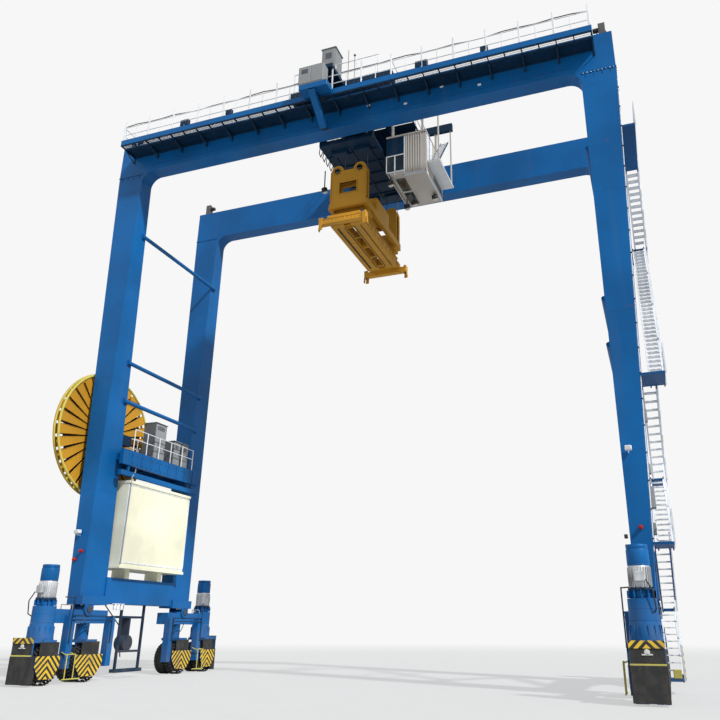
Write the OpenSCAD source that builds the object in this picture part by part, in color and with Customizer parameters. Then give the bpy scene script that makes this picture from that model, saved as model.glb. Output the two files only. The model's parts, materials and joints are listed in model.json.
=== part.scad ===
// Rubber tyred gantry crane, in millimetres.
// X runs across the span, Y along the travel of the crane, Z up.
// The origin is on the ground at the middle of the span.

/* [Portal] */
// Distance between the two wheel lines
wheel_span = 23470; // [22800:10:24200]
// Half the depth of the portal, from the middle to the outer faces of its legs
half_depth = 3996; // [3700:1:4300]
// Underside of the girders above the ground
girder_z = 25100; // [24000:10:26000]
// Height of a girder
girder_h = 1830; // [1600:10:2200]
// Width of a girder
girder_w = 770; // [700:10:900]
// Size of the knee fillet where a girder meets a leg
knee_r = 650; // [300:10:900]
// Depth of the leg's joint flange below the girder's underside
flange_drop = 100; // [50:10:300]

/* [Legs] */
// Width of a leg at its top, across the span
leg_top_w = 1500; // [1300:10:1600]
// Width of a leg at its foot, across the span
leg_foot_w = 640; // [560:10:800]
// Outer face of a leg at the top, measured out from the wheel line
leg_top_out = 1265; // [1100:5:1400]
// Outer face of a leg at the foot, measured out from the wheel line
leg_foot_out = 420; // [300:5:450]
// Depth of a leg at its foot
leg_foot_d = 1600; // [1400:10:1750]
// Underside of a leg above the ground
leg_z = 3120; // [3000:10:3400]

/* [Sill and ties] */
// Underside of a sill beam above the ground
sill_z = 3200; // [3150:10:3500]
// Height of a sill beam
sill_h = 1130; // [900:10:1300]
// Width of a sill beam
sill_w = 780; // [600:10:900]
// Height of the upper side tie above the ground
tie_top_z = 21500; // [20500:50:22500]
// Height of the middle side tie above the ground
tie_mid_z = 14500; // [13500:50:15500]
// Height of the lower side tie above the ground
tie_low_z = 12550; // [12200:50:13000]
// Diameter of a side tie
tie_d = 200; // [150:5:300]

/* [Bogies] */
// Middle of a bogie from the middle of the crane, along the travel
bogie_y = 4460; // [4400:5:4600]
// Rocking pin from the middle of the crane, along the travel
rock_y = 3500; // [3300:5:3650]
// Distance between the two wheel sets of one bogie
wheel_gap = 2320; // [2250:5:2500]
// Width of the equaliser beam
eq_w = 640; // [500:10:700]
// Underside of the equaliser beam above the ground
eq_z = 2350; // [2250:10:2400]
// Height of the equaliser beam
eq_h = 550; // [450:10:580]
// Height of the rocking pin above the ground
rock_z = 2930; // [2900:5:2960]
// Radius of the rocking pin
rock_r = 90; // [60:5:110]

/* [Wheels] */
// Outer diameter of a tyre
tyre_d = 1490; // [1400:5:1560]
// Width of one tyre
tyre_w = 430; // [380:5:440]
// Gap between the two tyres of a set, where the hub's carrier runs
twin_gap = 180; // [170:5:200]
// Diameter of a wheel rim
rim_d = 800; // [700:5:900]
// Radius of the axle
axle_r = 70; // [50:5:80]

/* [Wheel motors] */
// Diameter of a wheel motor
motor_d = 660; // [560:10:720]
// Top of the bell housing under a wheel motor, above the ground
bell_z = 3300; // [3250:10:3400]
// Top of a wheel motor's body above the ground
motor_z = 4000; // [3800:10:4200]
// Top of a wheel motor's cap above the ground
cap_z = 4640; // [4500:10:4800]

/* [Trolley] */
// Middle of the trolley, from the middle of the span
trolley_x = -150; // [-1500:10:1500]
// Height of a trolley rail
rail_h = 150; // [100:5:180]
// Diameter of a trolley wheel
trolley_wheel_d = 700; // [600:10:800]
// Distance between the trolley's wheel axles
trolley_base = 4600; // [4200:10:5000]

/* [Spreader] */
// Underside of the spreader's end beams above the ground
spreader_z = 20400; // [19800:10:20800]
// Distance between the twistlocks along the travel, closed
lock_l = 5853; // [5853:1:5853]
// Distance between the twistlocks across
lock_w = 2259; // [2259:1:2259]

/* [Electrical house] */
// Gap between the house and the legs at its ends
house_gap = 40; // [20:5:200]
// Width of the house across the span
house_w = 1500; // [1200:10:1800]
// Height of the house
house_h = 3880; // [3400:10:3950]
// Underside of the house above the sill beam
house_rise = 470; // [300:10:500]
// Inner face of the house from the middle of the span
house_x = 11000; // [10900:10:11200]

/* [Cable reel] */
// Outer diameter of the cable reel
reel_d = 6200; // [5800:10:6400]
// Middle of the reel along the travel
reel_y = -2500; // [-2700:10:-2300]
// Middle of the reel above the ground
reel_z = 11000; // [10800:10:11300]
// Width of the reel
reel_w = 260; // [200:10:320]

/* [Hidden] */

crane_blue = [0.10, 0.36, 0.62];
dark_blue = [0.07, 0.20, 0.38];
spreader_yellow = [0.82, 0.58, 0.14];
cream = [0.87, 0.86, 0.78];
grey = [0.55, 0.56, 0.56];
white = [0.88, 0.89, 0.90];
tyre_black = [0.08, 0.08, 0.08];

wheel_x = wheel_span / 2;
leg_top_z = girder_z - flange_drop;
girder_top = girder_z + girder_h;
leg_top_x = wheel_x + leg_top_out;
leg_foot_x = wheel_x + leg_foot_out;
leg_rise = leg_top_z - leg_z;
rail_y = half_depth - girder_w / 2;
rail_top = girder_top + rail_h;

function out_x(z) = leg_foot_x + (leg_top_x - leg_foot_x) * (z - leg_z) / leg_rise;
function in_x(z) = leg_foot_x - leg_foot_w
    + (leg_top_x - leg_top_w - leg_foot_x + leg_foot_w) * (z - leg_z) / leg_rise;
function leg_d(z) = leg_foot_d + (girder_w - leg_foot_d) * (z - leg_z) / leg_rise;

module at_corner(sx, sy) mirror([sx < 0 ? 1 : 0, 0, 0]) mirror([0, sy > 0 ? 1 : 0, 0]) children();
module wall_x(y, w) translate([0, y + w, 0]) rotate([90, 0, 0]) linear_extrude(w) children();
module wall_y(x, w) translate([x, 0, 0]) rotate([90, 0, 90]) linear_extrude(w) children();
module block(x, y, z) translate([x[0], y[0], z[0]]) cube([x[1] - x[0], y[1] - y[0], z[1] - z[0]]);
module tube_y(x, y, z, d) translate([x, y[0], z]) rotate([-90, 0, 0]) cylinder(d = d, h = y[1] - y[0], $fn = 32);
module tube_x(x, y, z, d) translate([x[0], y, z]) rotate([0, 90, 0]) cylinder(d = d, h = x[1] - x[0], $fn = 32);
module tube_z(x, y, z, d) translate([x, y, z[0]]) cylinder(d = d, h = z[1] - z[0], $fn = 32);

// Knee between a girder and a leg, seen from the front
module knee() difference() {
    translate([in_x(leg_top_z) - knee_r, girder_z - knee_r]) square(knee_r + 1);
    translate([in_x(leg_top_z) - knee_r, girder_z - knee_r]) circle(knee_r, $fn = 64);
}
module girder_half() {
    inner = in_x(leg_top_z);
    wall_x(-half_depth, girder_w) union() {
        polygon([[0, girder_z], [inner, girder_z], [inner, leg_top_z], [leg_top_x, leg_top_z],
            [leg_top_x, girder_top], [0, girder_top]]);
        intersection() {
            knee();
            translate([0, leg_top_z]) square([inner + 1, girder_h]);
        }
    }
}
module girder() for (s = [0, 1]) mirror([s, 0, 0]) girder_half();
module front_girder() color(crane_blue) girder();
module rear_girder() color(crane_blue) mirror([0, 1, 0]) girder();

// Leg: it grows narrower along the travel and wider across the span towards its top
flange_t = 40;
flange_lip = 25;
module leg() {
    inner_top = in_x(leg_top_z);
    intersection() {
        wall_x(-half_depth - flange_lip, leg_foot_d + flange_lip) union() {
            polygon([[leg_foot_x - leg_foot_w, leg_z], [leg_foot_x, leg_z],
                [leg_top_x, leg_top_z], [inner_top, leg_top_z]]);
            intersection() {
                knee();
                translate([0, leg_top_z - girder_h]) square([inner_top + 1, girder_h]);
            }
        }
        wall_y(leg_foot_x - 2000, 4000) polygon([[-half_depth, leg_z], [-half_depth + leg_foot_d, leg_z],
            [-half_depth + girder_w, leg_top_z], [-half_depth, leg_top_z]]);
    }
    block([inner_top, leg_top_x + flange_lip], [-half_depth - flange_lip, -half_depth + girder_w + flange_lip],
        [leg_top_z - flange_t, leg_top_z]);
}

// Foot of a leg: the bracket under it that holds the bogie's rocking pin
foot_w = 800;
foot_h = 380;
cheek_t = 60;
cheek_r = 260;
pin_gap = 0.1;
clear = 15;
module leg_foot() {
    cheek_x = eq_w / 2 + clear;
    block([wheel_x - foot_w / 2, wheel_x + foot_w / 2], [-half_depth, -half_depth + leg_foot_d],
        [leg_z, leg_z + foot_h]);
    for (s = [-1, 1]) wall_y(wheel_x + s * (cheek_x + cheek_t / 2) - cheek_t / 2, cheek_t) union() {
        translate([-rock_y, rock_z]) circle(cheek_r, $fn = 64);
        translate([-rock_y - cheek_r, rock_z]) square([2 * cheek_r, leg_z - rock_z + 200]);
    }
    tube_x([wheel_x - cheek_x - cheek_t, wheel_x + cheek_x + cheek_t], -rock_y, rock_z, 2 * rock_r);
}
module whole_leg() union() {
    leg();
    leg_foot();
}
module front_left_leg() color(crane_blue) at_corner(-1, -1) whole_leg();
module front_right_leg() color(crane_blue) at_corner(1, -1) whole_leg();
module rear_left_leg() color(crane_blue) at_corner(-1, 1) whole_leg();
module rear_right_leg() color(crane_blue) at_corner(1, 1) whole_leg();

// Sill beams between the front and rear legs, and the round ties above them
sill_x = leg_foot_x - leg_foot_w / 2;
function leg_inner_y(z) = half_depth - leg_d(z);
module sill_beam() {
    y_end = leg_inner_y(sill_z + sill_h) + 60;
    block([sill_x - sill_w / 2, sill_x + sill_w / 2], [-y_end, y_end], [sill_z, sill_z + sill_h]);
}
module left_sill_beam() color(crane_blue) mirror([1, 0, 0]) right_sill_beam();
module right_sill_beam() color(crane_blue) difference() {
    sill_beam();
    for (s = [-1, 1]) at_corner(1, s) whole_leg();
}
tie_off = 60;
tie_lap = 300;
lug_t = 30;
module tie(z) {
    y_end = leg_inner_y(z) + tie_lap;
    x = in_x(z) - tie_off;
    tube_y(x, [-y_end, y_end], z, tie_d);
    for (s = [-1, 1]) wall_x(s * y_end - lug_t / 2 - s * lug_t, lug_t) polygon([
        [x + tie_d / 2, z - tie_d], [x + tie_d / 2, z + tie_d], [x - tie_d / 2, z]]);
}
module ties_on_side() difference() {
    for (z = [tie_low_z, tie_mid_z, tie_top_z]) tie(z);
    for (s = [-1, 1]) at_corner(1, s) leg();
}
module side_ties() color(crane_blue) for (side = [0, 1]) mirror([side, 0, 0]) ties_on_side();

// Rails and their end stops on top of the girders
rail_w = 120;
rail_end = leg_top_x - 400;
stop_half = 150;
stop_h = 800;
module trolley_rails() color("silver") for (s = [-1, 1]) {
    block([-rail_end, rail_end], [s * rail_y - rail_w / 2, s * rail_y + rail_w / 2], [girder_top, rail_top]);
    for (e = [-1, 1]) block([e * rail_end - stop_half, e * rail_end + stop_half],
        [s * rail_y - stop_half, s * rail_y + stop_half], [girder_top, girder_top + stop_h]);
}

// Walkways along the outer sides of the girders
walk_drop = 730;
deck_t = 50;
walk_z = girder_top - walk_drop - deck_t;
walk_w = 1150;
walk_x = leg_top_x - 800;
toe_h = 300;
bay_n = 16;
bracket_t = 80;
bracket_h = 420;
module walkway() {
    outer = -half_depth - walk_w;
    block([-walk_x, walk_x], [outer, -half_depth], [walk_z, walk_z + deck_t]);
    block([-walk_x, walk_x], [outer, outer + 20], [walk_z + deck_t, walk_z + toe_h]);
    for (i = [0:bay_n]) wall_y(-walk_x + i * (2 * walk_x - bracket_t) / bay_n, bracket_t)
        polygon([[-half_depth, walk_z], [outer + 60, walk_z], [outer + 60, walk_z - 80],
            [-half_depth, walk_z - bracket_h]]);
}
module front_walkway() color(dark_blue) walkway();
module rear_walkway() color(dark_blue) mirror([0, 1, 0]) walkway();

// Railing of round posts with a hand rail and a knee rail
rail_post_d = 50;
rail_bar_d = 42;
hand_h = 1100;
knee_h = 600;
module railing_x(x0, x1, y, z, n) {
    for (i = [0:n]) tube_z(x0 + (x1 - x0) * i / n, y, [z, z + hand_h], rail_post_d);
    for (h = [knee_h, hand_h - rail_bar_d / 2]) tube_x([x0, x1], y, z + h, rail_bar_d);
}
module railing_y(y0, y1, x, z, n) {
    for (i = [0:n]) tube_z(x, y0 + (y1 - y0) * i / n, [z, z + hand_h], rail_post_d);
    for (h = [knee_h, hand_h - rail_bar_d / 2]) tube_y(x, [y0, y1], z + h, rail_bar_d);
}
rail_inset = 60;
module walkway_railing() {
    line_y = half_depth + walk_w - rail_inset;
    end_x = walk_x - rail_inset;
    railing_x(-end_x, end_x, -line_y, walk_z + deck_t, bay_n);
    for (e = [-1, 1]) railing_y(-line_y + 100, -half_depth - rail_inset, e * end_x, walk_z + deck_t, 1);
}
module walkway_railings() color(white) {
    walkway_railing();
    mirror([0, 1, 0]) walkway_railing();
}

// Stairs up the outer side of the right legs: the landings lie by turns at the front and the rear
stair_w = 560;
stair_gap = 20;
stringer_t = 50;
stair_run = 2300;
landing_l = 1500;
ground_y = -900;
ground_l = 900;
top_y = 0;
landing_t = 90;
landing_z = [500, 2900, 4900, 8200, 11000, 19300, 22300];
top_i = len(landing_z) - 1;
tread_h = 230;
tread_t = 40;
tread_l = 230;
function flight_side(i) = i % 2 == 0 ? -1 : 1;
function flight_x(i) = ceil(out_x(max(landing_z[i + 1], leg_z))) + stair_gap;
function flight_y0(i) = i == 0 ? ground_y : flight_side(i) * stair_run;
function flight_y1(i) = i == top_i - 1 ? top_y : -flight_side(i) * stair_run;
function flight_n(i) = round((landing_z[i + 1] - landing_z[i]) / tread_h);
module flight_treads(i) {
    n = flight_n(i);
    going = (flight_y1(i) - flight_y0(i)) / n;
    rise = (landing_z[i + 1] - landing_z[i]) / n;
    for (k = [1:n - 1]) translate([flight_x(i) + stringer_t, flight_y0(i) + going * k - tread_l / 2,
        landing_z[i] + k * rise - tread_t]) cube([stair_w - 2 * stringer_t, tread_l, tread_t]);
}
module stair_treads() color(white) for (i = [0:top_i - 1]) flight_treads(i);
module slope(i, x, w, low, high) wall_y(x, w) polygon([
    [flight_y0(i), landing_z[i] + low], [flight_y0(i), landing_z[i] + high],
    [flight_y1(i), landing_z[i + 1] + high], [flight_y1(i), landing_z[i + 1] + low]]);
function landing_y0(i) = i == 0 ? ground_y - ground_l
    : i == top_i ? -ceil(leg_inner_y(landing_z[i])) - 300
    : flight_side(i) < 0 ? -stair_run - landing_l : stair_run;
function landing_y1(i) = i == 0 ? ground_y : i == top_i ? top_y : landing_y0(i) + landing_l;
function landing_in(i) = landing_z[i] < leg_z ? flight_x(i) : floor(out_x(landing_z[i])) - 100;
function landing_out(i) = flight_x(min(i, top_i - 1)) + stair_w;
ladder_w = 400;
ladder_n = 16;
module ladder() {
    x = out_x(landing_z[top_i]) - 150 - ladder_w;
    y = -leg_inner_y(girder_z) + 100;
    for (dx = [0, ladder_w]) block([x + dx, x + dx + 50], [y, y + 60], [landing_z[top_i], girder_top + 900]);
    for (k = [1:ladder_n]) tube_x([x, x + ladder_w + 50], y + 30,
        landing_z[top_i] + k * (girder_top - landing_z[top_i]) / ladder_n, 30);
    block([x, x + ladder_w + 50], [-half_depth + girder_w, y + 10], [girder_top - 400, girder_top - 340]);
    block([x, landing_in(top_i) + 100], [y - 60, y + 160], [landing_z[top_i] - landing_t, landing_z[top_i]]);
}
module stair_frame() color(dark_blue) difference() {
    union() {
        for (i = [0:top_i]) block([landing_in(i), landing_out(i)],
            [landing_y0(i), landing_y1(i)], [landing_z[i] - landing_t, landing_z[i]]);
        for (i = [0:top_i - 1]) for (x = [flight_x(i), flight_x(i) + stair_w - stringer_t])
            slope(i, x, stringer_t, -160, 60);
        ladder();
    }
    for (s = [-1, 1]) at_corner(1, s) leg();
    at_corner(1, -1) girder_half();
}
module stair_post(x, y, z) translate([x, y - rail_post_d / 2, z - landing_t])
    cube([rail_post_d, rail_post_d, hand_h + landing_t]);
// A flight's rails end where they meet the flight above
module flight_rails(i) difference() {
    x = flight_x(i) + stair_w;
    union() {
        for (h = [knee_h, hand_h]) slope(i, x, rail_post_d, h - 50, h);
        for (k = [1:3]) stair_post(x, flight_y0(i) + (flight_y1(i) - flight_y0(i)) * k / 4,
            landing_z[i] + (landing_z[i + 1] - landing_z[i]) * k / 4);
    }
    if (i < top_i - 1) slope(i + 1, x - 10, rail_post_d + 20, -170, 4000);
}
module stair_railings() color(white) {
    for (i = [0:top_i - 1]) flight_rails(i);
    for (i = [0:top_i]) {
        x = landing_out(i);
        for (y = [landing_y0(i) + 25, landing_y1(i) - 25]) stair_post(x, y, landing_z[i]);
        for (h = [knee_h, hand_h]) block([x, x + rail_post_d], [landing_y0(i), landing_y1(i)],
            [landing_z[i] + h - 50, landing_z[i] + h]);
    }
}

// Electrical house on the left sill beam, and the platform above it
house_z = sill_z + sill_h + house_rise;
house_out = house_x + house_w;
house_y = leg_inner_y(house_z) - house_gap;
eave = 30;
module electrical_house() color(cream) mirror([1, 0, 0]) {
    block([house_x, house_out], [-house_y, house_y], [house_z, house_z + house_h]);
    for (z = [house_z - 60, house_z + house_h - 60]) block([house_x - 2 * eave, house_out + 2 * eave],
        [-house_y - eave, house_y + eave], [z, z + 120]);
    for (y = [-1, 1]) block([sill_x - sill_w / 2, sill_x + sill_w / 2],
        [y * house_y / 2 - 150, y * house_y / 2 + 150], [sill_z + sill_h, house_z]);
}
platform_rise = 1050;
platform_z = house_z + house_h + platform_rise + 420;
platform_y = leg_inner_y(platform_z) - 20;
platform_over = 450;
frame_x = house_x + 200;
frame_w = house_w - 350;
module equipment_platform() color(crane_blue) mirror([1, 0, 0]) difference() {
    union() {
        block([house_x, frame_x + frame_w + 200], [-platform_y, platform_y], [platform_z - 60, platform_z]);
        for (x = [house_x, frame_x + frame_w]) block([x, x + 200], [-platform_y, platform_y],
            [platform_z - 720, platform_z - 60]);
        block([house_x, frame_x], [-platform_y - platform_over, platform_y + platform_over],
            [platform_z - 720, platform_z]);
        block([house_x, frame_x], [-platform_y - platform_over, platform_y + platform_over],
            [platform_z - 1220, platform_z - 1000]);
        for (y = [-1, 0, 1]) block([frame_x, frame_x + frame_w],
            [y * platform_y / 2 - 100, y * platform_y / 2 + 100], [platform_z - 460, platform_z - 60]);
        for (y = [-1, 1]) {
            block([frame_x - 150, frame_x - 50], [y * (platform_y - 100) - 50, y * (platform_y - 100) + 50],
                [platform_z - 1000, platform_z - 720]);
            block([frame_x, in_x(platform_z) + 50], [y * (platform_y + 250) - 100, y * (platform_y + 250) + 100],
                [platform_z - 500, platform_z - 200]);
        }
    }
    for (s = [-1, 1]) at_corner(1, s) leg();
}
module platform_railing() color(white) mirror([1, 0, 0]) {
    rail_l = platform_y - 250;
    railing_y(-rail_l, rail_l, house_x + 60, platform_z, 5);
    railing_y(-rail_l + 1000, rail_l, frame_x + frame_w + 100, platform_z, 4);
}
module control_cabinets() color(grey) mirror([1, 0, 0]) {
    block([frame_x + 50, frame_x + 750], [-700, 200], [platform_z, platform_z + 1900]);
    for (y = [900, 1600]) block([frame_x + 50, frame_x + 650], [y, y + 600], [platform_z, platform_z + 1300]);
}

// Cable reel on the outer side of the left frame
reel_x = 12850;
reel_hub_d = 1500;
slit_in = 15;
slit_out = 70;
spoke_n = 30;
reel_rim = 120;
reel_plate = 20;
reel_shaft_d = 160;
reel_shaft_end = landing_out(top_i) + rail_post_d;
gear_half = 250;
module reel_bracket() color(dark_blue) mirror([1, 0, 0]) difference() {
    reel_bracket_blocks();
    at_corner(1, -1) leg();
}
module reel_bracket_blocks() {
    leg_y = -leg_inner_y(reel_z);
    block([out_x(reel_z) - 550, out_x(reel_z) - 200], [leg_y - 200, reel_y + 900], [reel_z - 400, reel_z + 100]);
    block([out_x(reel_z) - 200, reel_x - reel_w / 2 - 40], [reel_y - gear_half, reel_y + gear_half],
        [reel_z - gear_half, reel_z + gear_half]);
    tube_x([reel_x - reel_w / 2 - 100, reel_shaft_end], reel_y, reel_z, reel_shaft_d);
}
module petal() {
    inner = reel_hub_d / 2 - 50;
    outer = reel_d / 2 - reel_rim + 20;
    half = 180 / spoke_n;
    in_half = inner * sin(half) - slit_in;
    out_half = outer * sin(half) - slit_out;
    polygon([[inner, -in_half], [outer, -out_half], [outer, out_half], [inner, in_half]]);
}
module reel_side() linear_extrude(reel_plate) difference() {
    union() {
        difference() {
            circle(d = reel_d, $fn = 96);
            circle(d = reel_d - 2 * reel_rim, $fn = 96);
        }
        circle(d = reel_hub_d, $fn = 64);
        for (i = [0:spoke_n - 1]) rotate(i * 360 / spoke_n) petal();
    }
    circle(d = reel_shaft_d + 2 * pin_gap, $fn = 48);
}
module cable_reel() color(spreader_yellow) mirror([1, 0, 0]) translate([reel_x, reel_y, reel_z])
    rotate([0, 90, 0]) {
        for (z = [-reel_w / 2, reel_w / 2 - reel_plate]) translate([0, 0, z]) reel_side();
        translate([0, 0, -reel_w / 2 + reel_plate]) difference() {
            cylinder(d = reel_hub_d, h = reel_w - 2 * reel_plate, $fn = 64);
            translate([0, 0, -10]) cylinder(d = reel_shaft_d + 2 * pin_gap, h = reel_w, $fn = 48);
        }
    }
module cable_guide() color(dark_blue) mirror([1, 0, 0]) {
    x = sill_x - 100;
    for (y = [-900, 700]) block([x, x + 100], [y, y + 100], [400, sill_z]);
    block([x + 100, x + 600], [-900, 800], [2600, 2700]);
    tube_x([x + 100, x + 600], -100, 1500, 700);
    block([x + 100, x + 600], [-150, -50], [1500, 2600]);
    block([x, x + 100], [-800, 700], [1100, 1200]);
    block([x - 100, x + 200], [-1000, 900], [250, 400]);
}

// Bogies: a rocking beam over two wheel sets, with the wheel motor on its outer end
outer_y = bogie_y + wheel_gap / 2;
inner_y = bogie_y - wheel_gap / 2;
post_half = 160;
turn_gap = 6;
turn_z = eq_z - turn_gap;
king_r = 120;
king_h = 300;
bell_d = 900;
hub_d = 620;
boss_r = 170;
module bogie() difference() {
    union() {
        wall_y(wheel_x - eq_w / 2, eq_w) union() {
            translate([-outer_y, eq_z]) square([outer_y - inner_y + 1100, eq_h]);
            translate([-rock_y, rock_z]) circle(boss_r, $fn = 64);
            translate([-rock_y - boss_r, eq_z + 100]) square([2 * boss_r, rock_z - eq_z - 100]);
        }
        tube_z(wheel_x, -outer_y, [eq_z, eq_z + eq_h + 100], bell_d);
        tube_z(wheel_x, -outer_y, [eq_z + eq_h, bell_z], motor_d - 40);
        tube_z(wheel_x, -outer_y, [bell_z, motor_z], motor_d);
        tube_z(wheel_x, -outer_y, [motor_z, cap_z], motor_d - 20);
        tube_z(wheel_x, -inner_y, [eq_z, eq_z + eq_h + 60], hub_d);
        for (y = [-bogie_y - 2 * post_half, -inner_y + 970]) block([wheel_x - 620, wheel_x - 300],
            [y, y + 2 * post_half], [600, eq_z + 300]);
    }
    tube_x([wheel_x - 600, wheel_x + 600], -rock_y, rock_z, 2 * (rock_r + pin_gap));
    for (y = [outer_y, inner_y]) tube_z(wheel_x, -y, [eq_z - 10, eq_z + king_h + 20], 2 * (king_r + pin_gap));
}
module front_left_bogie() color(crane_blue) at_corner(-1, -1) bogie();
module front_right_bogie() color(crane_blue) at_corner(1, -1) bogie();
module rear_left_bogie() color(crane_blue) at_corner(-1, 1) bogie();
module rear_right_bogie() color(crane_blue) at_corner(1, 1) bogie();

// Forks: the steered carriers of the wheel sets, hung under the bogie on their king pins
axle_z = tyre_d / 2;
set_half = tyre_w + twin_gap / 2;
guard_z = tyre_d + 90;
web_half = twin_gap / 2 - 20;
module fork(y, plate_half) difference() {
    union() {
        tube_z(wheel_x, y, [guard_z + 100, turn_z], 560);
        tube_z(wheel_x, y, [turn_z - 100, eq_z + king_h], 2 * king_r);
        block([wheel_x - 585, wheel_x + 480], [y - 340, y + 340], [guard_z, guard_z + 120]);
        block([wheel_x - web_half, wheel_x + web_half], [y - 250, y + 250], [axle_z, guard_z]);
        tube_x([wheel_x - web_half, wheel_x + web_half], y, axle_z, 500);
        wall_y(wheel_x - set_half - 65, 30) polygon([[y - plate_half * 0.55, 250], [y + plate_half * 0.55, 250],
            [y + plate_half, 700], [y + plate_half, 1100], [y + 340, 1100], [y + 340, guard_z + 120],
            [y - 340, guard_z + 120], [y - 340, 1100], [y - plate_half, 1100], [y - plate_half, 700]]);
    }
    tube_x([wheel_x - 200, wheel_x + 200], y, axle_z, 2 * (axle_r + pin_gap));
}
module idle_fork() fork(-inner_y, 800);
apron_half = 520;
apron_y = outer_y + tyre_d / 2 + 60;
module drive_fork() union() {
    fork(-outer_y, 640);
    translate([wheel_x, -outer_y, guard_z + 110])
        cylinder(d1 = bell_d + 140, d2 = bell_d, h = turn_z - guard_z - 110, $fn = 64);
    block([wheel_x - apron_half, wheel_x + apron_half], [-apron_y, -apron_y + 40], [1060, guard_z + 190]);
    for (s = [-1, 1]) block([wheel_x + s * 480 - 40, wheel_x + s * 480 + 40], [-apron_y + 30, -outer_y - 100],
        [guard_z + 20, guard_z + 190]);
    block([wheel_x - apron_half, wheel_x + apron_half], [-apron_y - 25, -apron_y], [80, 1110]);
}
module front_left_drive_fork() color(crane_blue) at_corner(-1, -1) drive_fork();
module front_right_drive_fork() color(crane_blue) at_corner(1, -1) drive_fork();
module rear_left_drive_fork() color(crane_blue) at_corner(-1, 1) drive_fork();
module rear_right_drive_fork() color(crane_blue) at_corner(1, 1) drive_fork();
module front_left_idle_fork() color(crane_blue) at_corner(-1, -1) idle_fork();
module front_right_idle_fork() color(crane_blue) at_corner(1, -1) idle_fork();
module rear_left_idle_fork() color(crane_blue) at_corner(-1, 1) idle_fork();
module rear_right_idle_fork() color(crane_blue) at_corner(1, 1) idle_fork();

// Wheel sets: two tyres on rims at both ends of a short axle
module tyre_half() {
    r = tyre_d / 2;
    x0 = twin_gap / 2;
    rotate_extrude($fn = 96) polygon([[0, x0 + 60], [rim_d / 2 - 40, x0 + 60], [rim_d / 2, x0],
        [r - 60, x0], [r, x0 + 50], [r, x0 + tyre_w - 50], [r - 60, x0 + tyre_w], [rim_d / 2, x0 + tyre_w],
        [rim_d / 2 - 40, x0 + tyre_w - 90], [160, x0 + tyre_w - 90], [160, x0 + tyre_w - 30], [0, x0 + tyre_w - 30]]);
}
module wheel_set(y) translate([wheel_x, y, axle_z]) rotate([0, 90, 0]) union() {
    for (s = [0, 1]) mirror([0, 0, s]) tyre_half();
    translate([0, 0, -set_half + 100]) cylinder(r = axle_r, h = 2 * set_half - 200, $fn = 48);
}
module front_left_drive_wheel() color(tyre_black) at_corner(-1, -1) wheel_set(-outer_y);
module front_right_drive_wheel() color(tyre_black) at_corner(1, -1) wheel_set(-outer_y);
module rear_left_drive_wheel() color(tyre_black) at_corner(-1, 1) wheel_set(-outer_y);
module rear_right_drive_wheel() color(tyre_black) at_corner(1, 1) wheel_set(-outer_y);
module front_left_idle_wheel() color(tyre_black) at_corner(-1, -1) wheel_set(-inner_y);
module front_right_idle_wheel() color(tyre_black) at_corner(1, -1) wheel_set(-inner_y);
module rear_left_idle_wheel() color(tyre_black) at_corner(-1, 1) wheel_set(-inner_y);
module rear_right_idle_wheel() color(tyre_black) at_corner(1, 1) wheel_set(-inner_y);

// Trolley: a frame on four wheels whose middle hangs between the girders
trolley_axle_z = rail_top + trolley_wheel_d / 2;
flange_h = 40;
well_z = girder_z - 100;
well_y = half_depth - girder_w - 350;
well_x = 1300;
well_post = 100;
axle_d = 120;
trolley_half = trolley_base / 2 + 450;
box_t = 60;
box_gap = 260;
top_t = 60;
cross_h = 450;
beam_top = trolley_axle_z + trolley_wheel_d / 2 + flange_h + 80 + top_t;
cross_z = beam_top - top_t - cross_h;
rope_box = 160;
module at_trolley() translate([trolley_x, 0, 0]) children();
module trolley_frame() color(dark_blue) at_trolley() difference() {
    union() {
        for (s = [-1, 1]) {
            for (t = [-1, 1]) block([-trolley_half, trolley_half],
                [s * rail_y + t * box_gap - box_t, s * rail_y + t * box_gap + box_t], [rail_top + 200, beam_top]);
            block([-trolley_half, trolley_half], [s * rail_y - box_gap - box_t, s * rail_y + box_gap + box_t],
                [beam_top - top_t, beam_top]);
        }
        for (x = [-1, 1]) {
            block([x * well_x - 150, x * well_x + 150], [-rail_y - box_gap, rail_y + box_gap],
                [cross_z, beam_top - top_t]);
            for (s = [-1, 1]) block([x * well_x - 150, x * well_x + 150],
                [s * well_y - well_post, s * well_y + well_post], [well_z, cross_z + 100]);
        }
        block([-well_x - 150, well_x + 150], [-well_y - well_post, well_y + well_post], [well_z, well_z + 200]);
        for (x = [-1, 1]) for (s = [-1, 1]) block([x * rope_x - 420, x * rope_x + 420],
            [s * rope_y - 150, s * rope_y + 150], [well_z - rope_box, well_z]);
        for (s = [-1, 1]) block([well_x, cab_x1 + 700], [cab_mid + s * 1200 - 100, cab_mid + s * 1200 + 100],
            [cross_z, beam_top - top_t]);
        block([-1300, 200], [post_y, -rail_y - box_gap], [beam_top - 260, beam_top - top_t]);
        block([-1250, 200], [arm_y, post_y + 100], [side_z, side_z + side_h]);
        wall_y(-750, 300) polygon([[post_y, beam_top - top_t], [post_y, side_z + side_h], [arm_y, side_z],
            [-half_depth - 300, well_z], [-half_depth - 100, well_z], [post_y + 100, side_z - 200],
            [post_y + 100, beam_top - top_t]]);
    }
    for (s = [-1, 1]) for (x = [-1, 1]) tube_y(x * trolley_base / 2, [s * rail_y - 400, s * rail_y + 400],
        trolley_axle_z, axle_d);
}
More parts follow.
